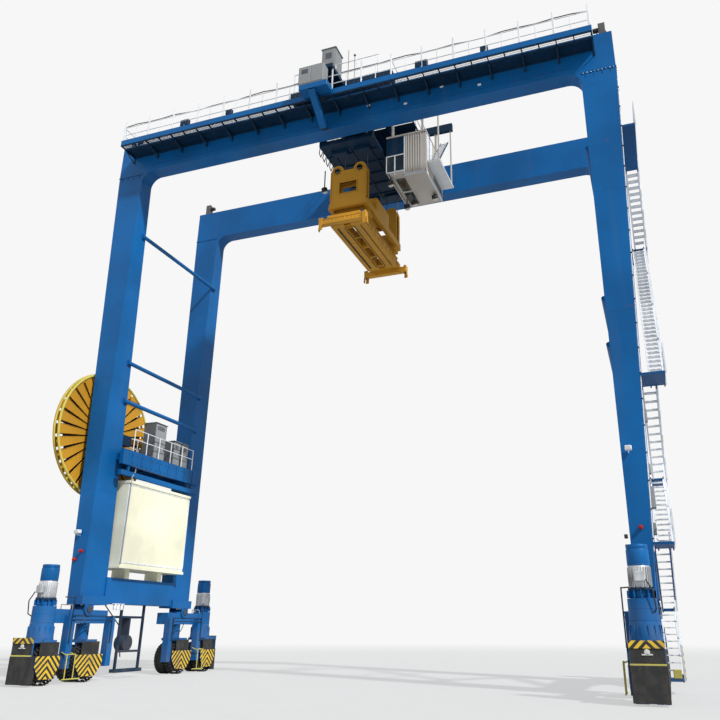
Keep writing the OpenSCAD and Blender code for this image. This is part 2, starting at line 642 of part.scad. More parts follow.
module trolley_wheels() color("dimgray") at_trolley() for (s = [-1, 1]) for (x = [-1, 1])
    translate([x * trolley_base / 2, s * rail_y, trolley_axle_z]) rotate([90, 0, 0]) union() {
        translate([0, 0, -80]) cylinder(d = trolley_wheel_d, h = 160, $fn = 64);
        for (t = [-110, 80]) translate([0, 0, t]) cylinder(d = trolley_wheel_d + 2 * flange_h, h = 30, $fn = 64);
        translate([0, 0, -box_gap - box_t]) cylinder(d = axle_d, h = 2 * (box_gap + box_t), $fn = 32);
    }
module hoist_machinery() color("dimgray") at_trolley() {
    floor_z = well_z + 200;
    tube_y(0, [-1500, 1500], floor_z + 900, 900);
    for (s = [-1, 1]) block([-350, 350], [s * 1650 - 150, s * 1650 + 150], [floor_z, floor_z + 1300]);
    block([-1100, -500], [-900, 300], [floor_z, floor_z + 800]);
    tube_y(-850, [300, 1500], floor_z + 500, 560);
    block([-1050, -650], [500, 1300], [floor_z, floor_z + 400]);
}
// Side arm and its low cabinet, which stand clear of the walkway and its railing
post_y = -half_depth - walk_w - 150;
arm_y = post_y - 500;
side_z = walk_z + deck_t;
side_h = 300;
module trolley_cabinets() color(grey) at_trolley() {
    block([-1300, 0], [arm_y, post_y], [side_z + side_h, side_z + 1350]);
    block([-1050, -300], [-rail_y - box_gap - box_t, -rail_y + 500], [beam_top, beam_top + 2330]);
    block([300, 1500], [-1500, 0], [beam_top - top_t, beam_top + 900]);
}

// Operator's cab under the trolley, right of the spreader
cab_x0 = 1700;
cab_x1 = 3800;
cab_mid = -200;
cab_half = 1450;
cab_z = 23300;
cab_top = 25700;
cab_wall = 80;
cab_slope = 350;
sill_rise = 450;
module cab_outline(inset) polygon([[cab_x0 + inset, cab_top - inset], [cab_x0 + inset, cab_z + sill_rise + inset],
    [cab_x0 + cab_slope + inset, cab_z + inset], [cab_x1 - inset, cab_z + inset], [cab_x1 - inset, cab_top - inset]]);
module cab_shell() difference() {
    wall_x(cab_mid - cab_half, 2 * cab_half) cab_outline(0);
    wall_x(cab_mid - cab_half + cab_wall, 2 * cab_half - 2 * cab_wall) cab_outline(cab_wall);
}
module operator_cab() color(cream) at_trolley() {
    difference() {
        cab_shell();
        block([cab_x0 - 100, cab_x0 + cab_wall + 20], [cab_mid - cab_half + 200, cab_mid + cab_half - 200],
            [cab_z + 600, cab_top - 500]);
        for (s = [-1, 1]) block([cab_x0 + 200, cab_x0 + 900],
            [cab_mid + s * cab_half - 100, cab_mid + s * cab_half + 100], [cab_z + 600, cab_top - 500]);
    }
    for (x = [cab_x0 + 200, cab_x1 - 300]) for (y = [-1, 1]) block([x, x + 100],
        [cab_mid + y * 1200 - 50, cab_mid + y * 1200 + 50], [cab_top, cross_z]);
}
module cab_windows() color([0.1, 0.13, 0.15, 0.6]) at_trolley() {
    block([cab_x0 + 20, cab_x0 + 40], [cab_mid - cab_half + 200, cab_mid + cab_half - 200],
        [cab_z + 600, cab_top - 500]);
    for (s = [-1, 1]) block([cab_x0 + 200, cab_x0 + 900],
        [cab_mid + s * (cab_half - 30) - 10, cab_mid + s * (cab_half - 30) + 10], [cab_z + 600, cab_top - 500]);
}
module cab_stair() color(dark_blue) at_trolley() {
    block([cab_x1, cab_x1 + 650], [cab_mid - 1300, cab_mid + 1300], [cab_z + 600, cab_z + 660]);
    for (s = [-1, 1]) block([cab_x1 + 550, cab_x1 + 610], [cab_mid + s * 1200 - 50, cab_mid + s * 1200 + 50],
        [cab_z + 660, cross_z]);
}

// Hoist: four groups of ropes over sheaves in the headblock, which carries the telescopic spreader
head_half = 930;
rope_x = 600;
rope_y = 2250;
head_y = 2450;
head_t = 80;
head_z0 = 21500;
head_z1 = 24000;
sheave_r = 300;
sheave_w = 200;
rope_d = 36;
rope_gap = 0.3;
lobe_r = 330;
sheave_z = head_z1 - lobe_r;
module hoist_ropes() color("dimgray") at_trolley() for (x = [-1, 1]) for (y = [-1, 1]) for (t = [-1, 1])
    tube_z(x * rope_x + t * (sheave_r + rope_d / 2 + rope_gap), y * rope_y,
        [sheave_z, well_z - rope_box - rope_gap], rope_d);
module head_plate() difference() {
    union() {
        translate([-head_half, head_z0 + 400]) square([2 * head_half, head_z1 - head_z0 - 400 - lobe_r]);
        for (x = [-1, 1]) translate([x * rope_x, sheave_z]) circle(lobe_r, $fn = 64);
        polygon([[-head_half - 100, head_z0], [head_half + 100, head_z0], [head_half, head_z0 + 500],
            [-head_half, head_z0 + 500]]);
    }
    translate([-450, head_z0 + 850]) square([900, 600]);
}
module headblock() color(spreader_yellow) at_trolley() {
    for (s = [-1, 1]) {
        wall_x(s * head_y - head_t / 2, head_t) head_plate();
        for (x = [-1, 1]) tube_y(x * rope_x, [s * rope_y - sheave_w / 2, s * rope_y + sheave_w / 2],
            sheave_z, 2 * sheave_r);
        wall_x(s * 2050 - head_t / 2, head_t) head_plate();
        for (x = [-1, 1]) tube_y(x * rope_x, [s * rope_y - 200, s * rope_y + 200], sheave_z, 160);
    }
    for (s = [-1, 1]) block([s * head_half - 100, s * head_half + 100], [-head_y, head_y], [head_z0, head_z0 + 350]);
    block([head_half - 400, head_half + 100], [-1200, 600], [head_z0 + 350, head_z0 + 1100]);
}

// Spreader: two boxes side by side, each with a channel for a front arm and one for a rear arm
arm_w = 200;
arm_h = 240;
arm_gap = 10;
front_arm_x = 360;
rear_arm_x = 640;
box_x = 500;
box_half = 320;
frame_half = 2500;
arm_z = spreader_z + 260;
arm_end = 2300;
frame_top = spreader_z + 650;
beam_half = 130;
lock_r = 30;
lock_h = 110;
module spreader_frame() color(spreader_yellow) at_trolley() {
    for (s = [-1, 1]) difference() {
        block([s * box_x - box_half, s * box_x + box_half], [-frame_half, frame_half], [spreader_z + 150, frame_top]);
        for (x = [front_arm_x, rear_arm_x]) block([s * x - arm_w / 2 - arm_gap, s * x + arm_w / 2 + arm_gap],
            [-frame_half - 100, frame_half + 100], [arm_z - pin_gap, arm_z + arm_h + arm_gap]);
    }
    for (y = [-2200, 0, 2200]) block([-box_x + box_half, box_x - box_half], [y - 100, y + 100],
        [spreader_z + 200, spreader_z + 600]);
    for (y = [-1900, 1900]) {
        block([-head_half - 100, head_half + 100], [y - 150, y + 150], [frame_top, frame_top + 150]);
        for (s = [-1, 1]) block([s * 830 - 120, s * 830 + 120], [y - 150, y + 150], [frame_top + 150, head_z0]);
    }
}
module end_beam(x) {
    block([-lock_w / 2 - 90, lock_w / 2 + 90], [-lock_l / 2 - beam_half, -lock_l / 2 + beam_half],
        [spreader_z, spreader_z + 260]);
    block([-850, 850], [-lock_l / 2, -frame_half - arm_gap], [spreader_z + 220, arm_z + arm_h]);
    for (s = [-1, 1]) block([s * x - arm_w / 2, s * x + arm_w / 2], [-lock_l / 2, arm_end], [arm_z, arm_z + arm_h]);
    for (s = [-1, 1]) tube_z(s * lock_w / 2, -lock_l / 2, [spreader_z - lock_h, spreader_z], 2 * lock_r);
}
module front_spreader_beam() color(spreader_yellow) at_trolley() end_beam(front_arm_x);
module rear_spreader_beam() color(spreader_yellow) at_trolley() mirror([0, 1, 0]) end_beam(rear_arm_x);

front_girder();
rear_girder();
front_left_leg();
front_right_leg();
rear_left_leg();
rear_right_leg();
left_sill_beam();
right_sill_beam();
side_ties();
trolley_rails();
front_walkway();
rear_walkway();
walkway_railings();
stair_treads();
stair_frame();
stair_railings();
electrical_house();
equipment_platform();
platform_railing();
control_cabinets();
reel_bracket();
cable_reel();
cable_guide();
front_left_bogie();
front_right_bogie();
rear_left_bogie();
rear_right_bogie();
front_left_drive_fork();
front_right_drive_fork();
rear_left_drive_fork();
rear_right_drive_fork();
front_left_idle_fork();
front_right_idle_fork();
rear_left_idle_fork();
rear_right_idle_fork();
front_left_drive_wheel();
front_right_drive_wheel();
rear_left_drive_wheel();
rear_right_drive_wheel();
front_left_idle_wheel();
front_right_idle_wheel();
rear_left_idle_wheel();
rear_right_idle_wheel();
trolley_frame();
trolley_wheels();
hoist_machinery();
trolley_cabinets();
operator_cab();
cab_windows();
cab_stair();
hoist_ropes();
headblock();
spreader_frame();
front_spreader_beam();
rear_spreader_beam();
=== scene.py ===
"""Rubber tyred gantry crane: paint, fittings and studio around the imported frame, in metres."""
import json
import math

import bpy
from bpy.props import FloatProperty, FloatVectorProperty, IntProperty, PointerProperty
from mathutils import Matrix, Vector


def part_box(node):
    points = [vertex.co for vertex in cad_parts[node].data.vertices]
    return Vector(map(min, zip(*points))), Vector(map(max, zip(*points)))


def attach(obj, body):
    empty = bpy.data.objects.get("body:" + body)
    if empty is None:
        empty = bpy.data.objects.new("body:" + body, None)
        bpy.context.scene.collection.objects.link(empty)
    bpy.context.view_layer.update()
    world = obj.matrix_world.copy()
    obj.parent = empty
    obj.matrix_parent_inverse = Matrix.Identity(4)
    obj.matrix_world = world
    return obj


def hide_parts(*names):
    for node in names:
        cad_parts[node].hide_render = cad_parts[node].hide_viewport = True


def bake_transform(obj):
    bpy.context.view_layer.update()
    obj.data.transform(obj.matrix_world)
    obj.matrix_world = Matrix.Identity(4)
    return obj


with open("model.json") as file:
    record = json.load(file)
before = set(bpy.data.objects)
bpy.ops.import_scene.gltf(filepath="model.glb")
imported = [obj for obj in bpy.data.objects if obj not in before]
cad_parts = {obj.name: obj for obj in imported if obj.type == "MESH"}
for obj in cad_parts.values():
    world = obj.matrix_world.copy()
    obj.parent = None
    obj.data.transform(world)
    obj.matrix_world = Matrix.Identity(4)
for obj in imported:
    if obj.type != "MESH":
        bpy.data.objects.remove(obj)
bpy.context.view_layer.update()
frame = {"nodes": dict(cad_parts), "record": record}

bl_info = {
    "name": "Yard Crane Finish",
    "version": (1, 0, 0),
    "blender": (4, 5, 0),
    "location": "3D View > Sidebar > Crane",
    "description": "Paint, fittings and studio of a rubber tyred gantry crane",
    "category": "Object",
}

# Each corner and side with the factors that mirror a front right part to it
CORNERS = {"front_left": (-1, 1), "front_right": (1, 1), "rear_left": (-1, -1), "rear_right": (1, -1)}
SIDES = {"Front": (1, 1), "Rear": (1, -1)}


def middle(node):
    """Centre of a node's box."""
    low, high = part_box(node)
    return (low + high) / 2


WHEEL_LINE, DRIVE_Y, TYRE_R = middle("front_right_drive_wheel")
IDLE_Y = middle("front_right_idle_wheel").y
BOGIE_Y = abs(DRIVE_Y + IDLE_Y) / 2
HALF_PITCH = abs(DRIVE_Y - IDLE_Y) / 2
PIN_Y, PIN_Z = -3.5, 2.93
LEG_FOOT_Z, LEG_HEAD_Z = 3.12, 25.0
LEG_FOOT_X, LEG_HEAD_X = 12.155, 13.0
LANDING = 1.5
STAIR_LEVELS = (0.5, 2.9, 4.9, 8.2, 11.0, 19.3, 22.3)
REEL_PETALS = 30
REEL_TURNS = 36
REEL_CORE = 0.80
TROLLEY_X = -0.15
SHEAVE_Z = 25.35
RAIL_HEIGHTS = (0.55, 1.1)
# The tall cabinet's front face, and the headblock's end plates
TALL_CABINET_Y = -3.931
END_PLATE_Y = 2.45
ROPE_R = 0.018
ROPE_X = (0.2817, 0.9183)

CAMERA_PLACE = (12.449, -30.517, 2.093)
CAMERA_TURN = (math.pi / 2 + 0.3567, 0, 0.3302)
CAMERA_LENS = 36.178
CAMERA_SHIFT = -0.0628
# Name, turn, energy and angle of each sun
LAMPS = (("Key_lamp", (0.80, 0.0, 1.10), 3.5, 3), ("Fill_lamp", (1.2, 0.0, -0.9), 0.25, 60))
BACKDROP = (0.93, 0.93, 0.93, 1)
SKY = (0.86, 0.92, 1.0, 1)
SKY_STRENGTH = 0.46
FLOOR_RADIUS = 380
# Distances between which the floor fades to the backdrop
FLOOR_FADE = (30, 100)

# Colours of what lies on the paint
DIRT = (0.16, 0.14, 0.12)
DUST = (0.20, 0.16, 0.12)
RUST = (0.14, 0.055, 0.02)

# Finishes of frame nodes that differ from their slot's, and the slot of each finish that isn't one itself
# The cab and its stair take the cab grey, which is painted shade: an off-white wall darkened to its tone
# out of the light
OWN_FINISH = {"operator_cab": "cab_paint", "cab_stair": "cab_paint", "stair_frame": "stair_blue",
              "control_cabinets": "cabinet_grey"}


def leg_outside(z):
    """Outer face of a right leg at height z."""
    return LEG_FOOT_X + (LEG_HEAD_X - LEG_FOOT_X) * (z - LEG_FOOT_Z) / (LEG_HEAD_Z - LEG_FOOT_Z)


def colour_prop(name, value):
    return FloatVectorProperty(name=name, description=f"{name} paint or finish", subtype="COLOR",
                               size=3, min=0, max=1, default=value)


def length_prop(name, description, value):
    return FloatProperty(name=name, description=description, unit="LENGTH", min=0.001, default=value)


class CraneColours(bpy.types.PropertyGroup):
    """Finishes of the crane."""
    crane_blue: colour_prop("Crane blue", (0.003, 0.112, 0.335))
    dark_blue: colour_prop("Dark blue", (0.004, 0.026, 0.062))
    white: colour_prop("White", (0.80, 0.82, 0.84))
    cream: colour_prop("Cream", (0.88, 0.85, 0.64))
    grey: colour_prop("Grey", (0.30, 0.31, 0.31))
    yellow: colour_prop("Spreader yellow", (0.56, 0.275, 0.022))
    warning: colour_prop("Warning yellow", (0.80, 0.52, 0.03))
    rubber: colour_prop("Rubber", (0.018, 0.018, 0.018))


class CraneSizes(bpy.types.PropertyGroup):
    """Sizes of the fittings."""
    lug_count: IntProperty(name="Tread lugs", description="Lugs round one side of a tyre", default=30,
                           min=12)
    lug_depth: length_prop("Lug depth", "Depth of a tyre's tread", 0.028)
    bar_pitch: length_prop("Grating pitch", "Distance between two bars of the walkway grating", 0.05)
    bolt_size: length_prop("Bolt size", "Width of the bolts in the leg joints", 0.055)
    stripe: length_prop("Stripe width", "Width of a warning stripe", 0.13)
    cable: length_prop("Cable width", "Thickness of the cable on the reel", 0.05)


def colours():
    return bpy.context.scene.crane_colours


def sizes():
    return bpy.context.scene.crane_sizes


# Shader values

class Value:
    """A shader socket that can be used in arithmetic."""

    def __init__(self, tree, socket):
        self.tree = tree
        self.socket = socket

    def math(self, operation, *others):
        """The result of a maths node whose first operand is this value."""
        node = self.tree.nodes.new("ShaderNodeMath")
        node.operation = operation
        for slot, operand in zip(node.inputs, (self, *others)):
            if isinstance(operand, Value):
                self.tree.links.new(operand.socket, slot)
            else:
                slot.default_value = operand
        return Value(self.tree, node.outputs[0])

    def __add__(self, other):
        return self.math("ADD", other)

    def __sub__(self, other):
        return self.math("SUBTRACT", other)

    def __rsub__(self, other):
        return self * -1.0 + other

    def __mul__(self, other):
        return self.math("MULTIPLY", other)

    def __truediv__(self, other):
        return self.math("DIVIDE", other)

    def __abs__(self):
        return self.math("ABSOLUTE")

    def fract(self):
        return self.math("FRACT")

    __radd__ = __add__
    __rmul__ = __mul__

    def ramp(self, low, high):
        node = self.tree.nodes.new("ShaderNodeMapRange")
        node.interpolation_type = "SMOOTHSTEP"
        self.tree.links.new(self.socket, node.inputs["Value"])
        node.inputs["From Min"].default_value = low
        node.inputs["From Max"].default_value = high
        return Value(self.tree, node.outputs["Result"])


class Finish:
    """A node material with the surface's place, noise and colour mixing at hand."""

    def __init__(self, name):
        self.material = bpy.data.materials.new(name)
        self.material.use_nodes = True
        self.tree = self.material.node_tree
        self.shader = self.tree.nodes["Principled BSDF"]
        place = self.tree.nodes.new("ShaderNodeTexCoord")
        self.place = place.outputs["Object"]
        split = self.tree.nodes.new("ShaderNodeSeparateXYZ")
        self.tree.links.new(self.place, split.inputs[0])
        self.x, self.y, self.z = (Value(self.tree, split.outputs[i]) for i in range(3))

    def noise(self, scale, offset=0.0, detail=3.0):
        shift = self.tree.nodes.new("ShaderNodeVectorMath")
        shift.operation = "MULTIPLY_ADD"
        self.tree.links.new(self.place, shift.inputs[0])
        shift.inputs[1].default_value = scale if isinstance(scale, tuple) else (scale,) * 3
        shift.inputs[2].default_value = (offset, offset * 0.7, offset * 1.3)
        node = self.tree.nodes.new("ShaderNodeTexNoise")
        node.inputs["Scale"].default_value = 1.0
        node.inputs["Detail"].default_value = detail
        self.tree.links.new(shift.outputs[0], node.inputs["Vector"])
        return Value(self.tree, node.outputs["Fac"])

    def mix(self, a, b, amount):
        node = self.tree.nodes.new("ShaderNodeMix")
        node.data_type = "RGBA"
        self.tree.links.new(amount.socket, node.inputs["Factor"])
        for slot, colour in ((node.inputs["A"], a), (node.inputs["B"], b)):
            if isinstance(colour, bpy.types.NodeSocket):
                self.tree.links.new(colour, slot)
            else:
                slot.default_value = (*colour, 1)
        return node.outputs["Result"]

    def colour(self, socket):
        self.tree.links.new(socket, self.shader.inputs["Base Color"])

    def rough(self, value):
        self.tree.links.new(value.socket, self.shader.inputs["Roughness"])

    def bump(self, value, distance):
        node = self.tree.nodes.new("ShaderNodeBump")
        node.inputs["Distance"].default_value = distance
        node.inputs["Strength"].default_value = 0.6
        self.tree.links.new(value.socket, node.inputs["Height"])
        self.tree.links.new(node.outputs["Normal"], self.shader.inputs["Normal"])


def shade(colour, factor):
    return tuple(min(1.0, c * factor) for c in colour)


def paint(name, colour, gloss=0.36, wear=0.5, seams=None):
    """Sprayed paint on steel: uneven tone, rain streaks, dust near the ground, chips and weld seams.
    seams holds the pitch of the seams across and up, and the height above which they run across."""
    f = Finish(name)
    tone = f.noise(0.35, 3.1)
    fine = f.noise(14.0, 8.0)
    streak = f.noise((2.6, 2.6, 0.10), 1.7, 4.0).ramp(0.52, 0.78)
    chips = f.noise(5.5, 21.0, 6.0).ramp(0.66, 0.72) * f.noise(0.5, 5.0).ramp(0.45, 0.6)
    dust = (1.0 - f.z.ramp(0.2, 4.5)) * f.noise(1.3, 9.0).ramp(0.3, 0.7)
    result = f.mix(shade(colour, 0.86), shade(colour, 1.14), tone.ramp(0.3, 0.7))
    rain = tuple(0.7 * c + 0.3 * d for c, d in zip(colour, DIRT))
    result = f.mix(result, rain, streak * (0.45 * wear))
    result = f.mix(result, DUST, dust * (0.55 * wear))
    result = f.mix(result, RUST, chips * wear)
    height = fine * 0.3 + tone
    if seams:
        across, up, level = seams
        line = 1.0 - abs((f.x / across).fract() - 0.5).ramp(0.0, 0.012 / across)
        belt = 1.0 - abs((f.z / up).fract() - 0.5).ramp(0.0, 0.012 / up)
        belt = belt * f.z.math("LESS_THAN", level)
        weld = (line * f.z.math("GREATER_THAN", level)).math("MAXIMUM", belt)
        result = f.mix(result, shade(colour, 0.45), weld * 0.6)
        height = height + weld * 0.8
    f.colour(result)
    f.rough(gloss + tone * 0.14 + dust * 0.3 + streak * 0.12)
    f.bump(height, 0.004)
    f.shader.inputs["Specular IOR Level"].default_value = 0.2
    return f.material


def steel(name, colour, metallic=1.0, rough=0.38):
    """Bare or galvanised metal with smears and oil."""
    f = Finish(name)
    smear = f.noise((3.0, 3.0, 0.8), 4.0, 5.0)
    oil = f.noise(0.9, 13.0).ramp(0.55, 0.7)
    result = f.mix(shade(colour, 0.7), shade(colour, 1.2), smear.ramp(0.3, 0.7))
    f.colour(f.mix(result, (0.035, 0.03, 0.025), oil * 0.5))
    f.rough(rough + smear * 0.25)
    f.bump(f.noise(30.0, 2.0), 0.002)
    f.shader.inputs["Metallic"].default_value = metallic
    return f.material


def rubber(name, colour):
    """Black rubber, greyed by dust on its raised and lower parts."""
    f = Finish(name)
    dust = f.noise(3.0, 6.0, 5.0).ramp(0.42, 0.66)
    scuff = f.noise((9.0, 9.0, 2.0), 12.0).ramp(0.5, 0.75)
    f.colour(f.mix(f.mix(colour, (0.085, 0.078, 0.068), dust * 0.4), (0.10, 0.092, 0.08), scuff * 0.18))
    f.rough(0.72 + dust * 0.2)
    f.bump(f.noise(45.0, 3.0, 5.0), 0.003)
    return f.material


def warning_stripes(name, light, pitch):
    """Bands of yellow and black that rise to the middle of each plate, with worn edges."""
    f = Finish(name)
    wander = f.noise(2.0, 2.0) * 0.02
    across = abs(abs(f.x) - WHEEL_LINE)
    beside = abs(abs(abs(f.y) - BOGIE_Y) - HALF_PITCH)
    along = across + beside + f.z + wander
    band = abs((along / (2 * pitch)).fract() - 0.5).ramp(0.235, 0.265)
    worn = f.noise(7.0, 17.0, 6.0).ramp(0.58, 0.7)
    grime = f.noise(1.1, 4.0).ramp(0.4, 0.75)
    result = f.mix(light, (0.02, 0.02, 0.02), band)
    result = f.mix(result, (0.16, 0.13, 0.10), worn * 0.45)
    f.colour(f.mix(result, (0.12, 0.10, 0.08), grime * 0.4))
    f.rough(0.45 + worn * 0.3)
    f.bump(f.noise(20.0, 5.0), 0.003)
    return f.material


def pane(name, colour):
    """Tinted cab glass with a film of dust."""
    f = Finish(name)
    film = f.noise((1.6, 1.6, 0.6), 7.0, 5.0).ramp(0.4, 0.8)
    f.colour(f.mix(colour, (0.16, 0.18, 0.19), film * 0.5))
    f.rough(0.04 + film * 0.16)
    f.shader.inputs["Transmission Weight"].default_value = 0.35
    f.shader.inputs["IOR"].default_value = 1.45
    return f.material


def lamp_glass(name, colour):
    """A pale lens with a ribbed pattern."""
    f = Finish(name)
    rib = abs((f.x * 40.0).fract() - 0.5)
    f.colour(f.mix(colour, shade(colour, 0.7), rib.ramp(0.1, 0.4)))
    f.rough(0.12 + f.noise(9.0) * 0.1)
    f.bump(rib, 0.003)
    return f.material


FINISHES = {}


def make_finishes():
    c = colours()
    FINISHES.update(
        crane_blue=paint("Crane_blue_paint", tuple(c.crane_blue), 0.34, 0.5, (3.05, 5.4, 25.0)),
        dark_blue=paint("Dark_blue_paint", tuple(c.dark_blue), 0.4, 0.55),
        white_paint=paint("White_paint", tuple(c.white), 0.42, 0.35),
        cream_paint=paint("Cream_paint", tuple(c.cream), 0.36, 0.3),
        grey_paint=paint("Grey_paint", tuple(c.grey), 0.4, 0.45),
        spreader_yellow=paint("Spreader_yellow_paint", tuple(c.yellow), 0.42, 0.8),
        steel=steel("Worn_steel", (0.16, 0.16, 0.165)),
        silver=steel("Motor_silver", (0.62, 0.63, 0.64), 0.55, 0.34),
        tyre=rubber("Tyre_rubber", tuple(c.rubber)),
        stripes=warning_stripes("Warning_stripes", tuple(c.warning), sizes().stripe),
        glass=pane("Cab_glass", (0.03, 0.045, 0.055)),
        lens=lamp_glass("Lamp_lens", (0.75, 0.76, 0.70)),
        # Grey of the cab: painted shade, the off-white cab wall darkened to the tone it has out of the
        # light
        cab_paint=paint("Cab_colour_with_painted_shade", (0.52, 0.48, 0.43), 0.42, 0.5),
        stair_blue=paint("Stair_blue_paint", (0.006, 0.085, 0.25), 0.4, 0.5),
        cabinet_grey=paint("Cabinet_grey_paint", (0.14, 0.15, 0.16), 0.42, 0.4),
        post_yellow=paint("Guard_yellow_paint", (0.62, 0.55, 0.12), 0.4, 0.5),
        red=paint("Red_paint", (0.45, 0.02, 0.02), 0.4, 0.3),
    )


# Modelling steps

ORIGIN = Vector()
UP = (0, 0, 1)
AXIS_TURN = {"X": (0, math.pi / 2, 0), "Y": (math.pi / 2, 0, 0)}


def at(x=0.0, y=0.0, z=0.0):
    """Sets the point that the places of the next parts are measured from."""
    ORIGIN[:] = x, y, z


def clear():
    """Leaves edit mode and selects nothing."""
    if bpy.context.object and bpy.context.object.mode != "OBJECT":
        bpy.ops.object.mode_set(mode="OBJECT")
    bpy.ops.object.select_all(action="DESELECT")


def choose(parts):
    """Selects the parts, with the first one active."""
    clear()
    for part in parts:
        part.select_set(True)
    bpy.context.view_layer.objects.active = parts[0]


def settle():
    """Applies the place, turn and size of the part that was just added."""
    bpy.ops.object.transform_apply(location=True, rotation=True, scale=True)
    return bpy.context.object


def edit(part, test=None, kind="FACE"):
    """Opens the part in edit mode with all of it, or the faces that pass the test, selected."""
    choose([part])
    if test:
        for item in (*part.data.vertices, *part.data.edges):
            item.select = False
        for face in part.data.polygons:
            face.select = test(face)
    bpy.ops.object.mode_set(mode="EDIT")
    bpy.ops.mesh.select_mode(type=kind)
    if not test:
        bpy.ops.mesh.select_all(action="SELECT")


def done():
    """Goes back from edit mode to the part as a whole."""
    bpy.ops.object.mode_set(mode="OBJECT")
    return bpy.context.object


def round_edges(part, width, steps=2):
    """Bevels all edges of a part."""
    edit(part, kind="EDGE")
    bpy.ops.mesh.bevel(offset=width, segments=steps, affect="EDGES", clamp_overlap=True)
    return done()


def slab(low, high, edge=0.008, turn=(0, 0, 0)):
    """A block between two corners with rounded edges, turned about its middle."""
    clear()
    low, high = ORIGIN + Vector(low), ORIGIN + Vector(high)
    bpy.ops.mesh.primitive_cube_add(size=1, location=(low + high) / 2, scale=high - low, rotation=turn)
    part = settle()
    return round_edges(part, edge, 1) if edge else part


def tapered(low, high, factor):
    """A block whose underside is narrowed along the travel."""
    part = slab(low, high, 0)
    edit(part, lambda f: f.normal.z < -0.9)
    foot = ORIGIN + (Vector(low) + Vector(high)) / 2
    foot.z = ORIGIN.z + low[2]
    bpy.ops.transform.resize(value=(1, factor, 1), center_override=foot)
    return done()


def bar(start, end, width, height):
    """A flat bar on edge from one point to another in a plane across the span."""
    start, end = Vector(start), Vector(end)
    centre, line = (start + end) / 2, end - start
    half = Vector((width, line.length, height)) / 2
    return slab(centre - half, centre + half, 0.004, (math.atan2(line.z, line.y), 0, 0))


def rod(start, end, radius, sides=16, edge=0.0):
    """A round bar from one point to another, with rounded ends."""
    clear()
    start, end = ORIGIN + Vector(start), ORIGIN + Vector(end)
    line = end - start
    bpy.ops.mesh.primitive_cylinder_add(vertices=sides, radius=radius, depth=line.length,
                                        location=(start + end) / 2,
                                        rotation=line.to_track_quat("Z", "Y").to_euler())
    part = settle()
    if edge:
        axis = line.normalized()
        edit(part, lambda f: abs(f.normal.dot(axis)) > 0.9)
        bpy.ops.mesh.bevel(offset=edge, segments=2, affect="EDGES", clamp_overlap=True)
        part = done()
    return part


def pipe(points, radius, sides=10):
    """A bent pipe or cable through the points, with joints at its bends."""
    return [rod(a, b, radius, sides) for a, b in zip(points, points[1:])]


def disc(centre, radius, width, sides):
    """A wheel-like cylinder whose axis lies across the crane's travel."""
    clear()
    bpy.ops.mesh.primitive_cylinder_add(vertices=sides, radius=radius, depth=width,
                                        location=ORIGIN + Vector(centre), rotation=AXIS_TURN["X"])
    return settle()


def torus(centre, radius, thick, around, across, axis="Y"):
    """A round hoop whose axis lies along X or Y."""
    clear()
    bpy.ops.mesh.primitive_torus_add(major_radius=radius, minor_radius=thick, major_segments=around,
                                     minor_segments=across, location=ORIGIN + Vector(centre),
                                     rotation=AXIS_TURN[axis])
    return settle()


def row(part, count, step):
    """Repeats a part at even steps."""
    choose([part])
    repeat = part.modifiers.new("Row", "ARRAY")
    repeat.count = count
    repeat.use_relative_offset = False
    repeat.use_constant_offset = True
    repeat.constant_offset_displace = step
    bpy.ops.object.modifier_apply(modifier=repeat.name)
    return part


def ring(part, count, centre=(0, 0, 0), axis=(1, 0, 0)):
    """Repeats a part round an axis."""
    edit(part)
    bpy.ops.mesh.spin(steps=count, dupli=True, angle=2 * math.pi, center=ORIGIN + Vector(centre),
                      axis=axis)
    bpy.ops.mesh.remove_doubles(threshold=0.0001)
    return done()


def turned(part, angle):
    """Turns a part round the axis along X through the point set by at()."""
    edit(part)
    bpy.ops.transform.rotate(value=angle, orient_axis="X", center_override=ORIGIN)
    return done()


def joined(name, parts, body, finish, stand_for=(), smooth=True):
    """One finished piece from its parts, with its finish, body and the nodes that it stands for."""
    choose(parts)
    if len(parts) > 1:
        bpy.ops.object.join()
    piece = bpy.context.object
    piece.name = name
    if smooth:
        bpy.ops.object.shade_smooth_by_angle(angle=math.radians(35))
    piece.data.materials.clear()
    piece.data.materials.append(FINISHES[finish])
    if body:
        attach(piece, body)
    if stand_for:
        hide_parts(*stand_for)
    return piece


def pieces(body, *rows):
    """Joins each row's parts to one piece on the body. A row is a name, parts and a finish."""
    for name, parts, finish in rows:
        joined(name, parts, body, finish)


def mirrored(parts, sx, sy):
    """Copies of parts with their own meshes, mirrored to another corner."""
    choose(parts)
    bpy.ops.object.duplicate(linked=False)
    copies = list(bpy.context.selected_objects)
    for copy in copies:
        copy.scale = (sx, sy, 1)
    bpy.ops.object.transform_apply(location=False, rotation=False, scale=True)
    if sx * sy < 0:
        bpy.ops.object.mode_set(mode="EDIT")
        bpy.ops.mesh.select_all(action="SELECT")
        bpy.ops.mesh.normals_make_consistent(inside=False)
        bpy.ops.object.mode_set(mode="OBJECT")
    return copies


def discard(parts):
    """Deletes the parts that mirrored copies were made of."""
    choose(parts)
    bpy.ops.object.delete()


def spread(places, *rows):
    """Joins mirrored copies of each row's parts at each place.
    A row is a name, parts, a body, a finish and, if the piece stands for nodes, their names; such a
    piece is shaded flat. In the names {0} is the place and {1} the place in lower case."""
    for place, (sx, sy) in places.items():
        names = (place, place.lower())
        for name, parts, body, finish, *rest in rows:
            stand_for = tuple(node.format(*names) for node in (rest[0] if rest else ()))
            joined(name.format(*names), mirrored(parts, sx, sy), body.format(*names), finish,
                   stand_for, not stand_for)
    discard([part for entry in rows for part in entry[1]])


# Operators

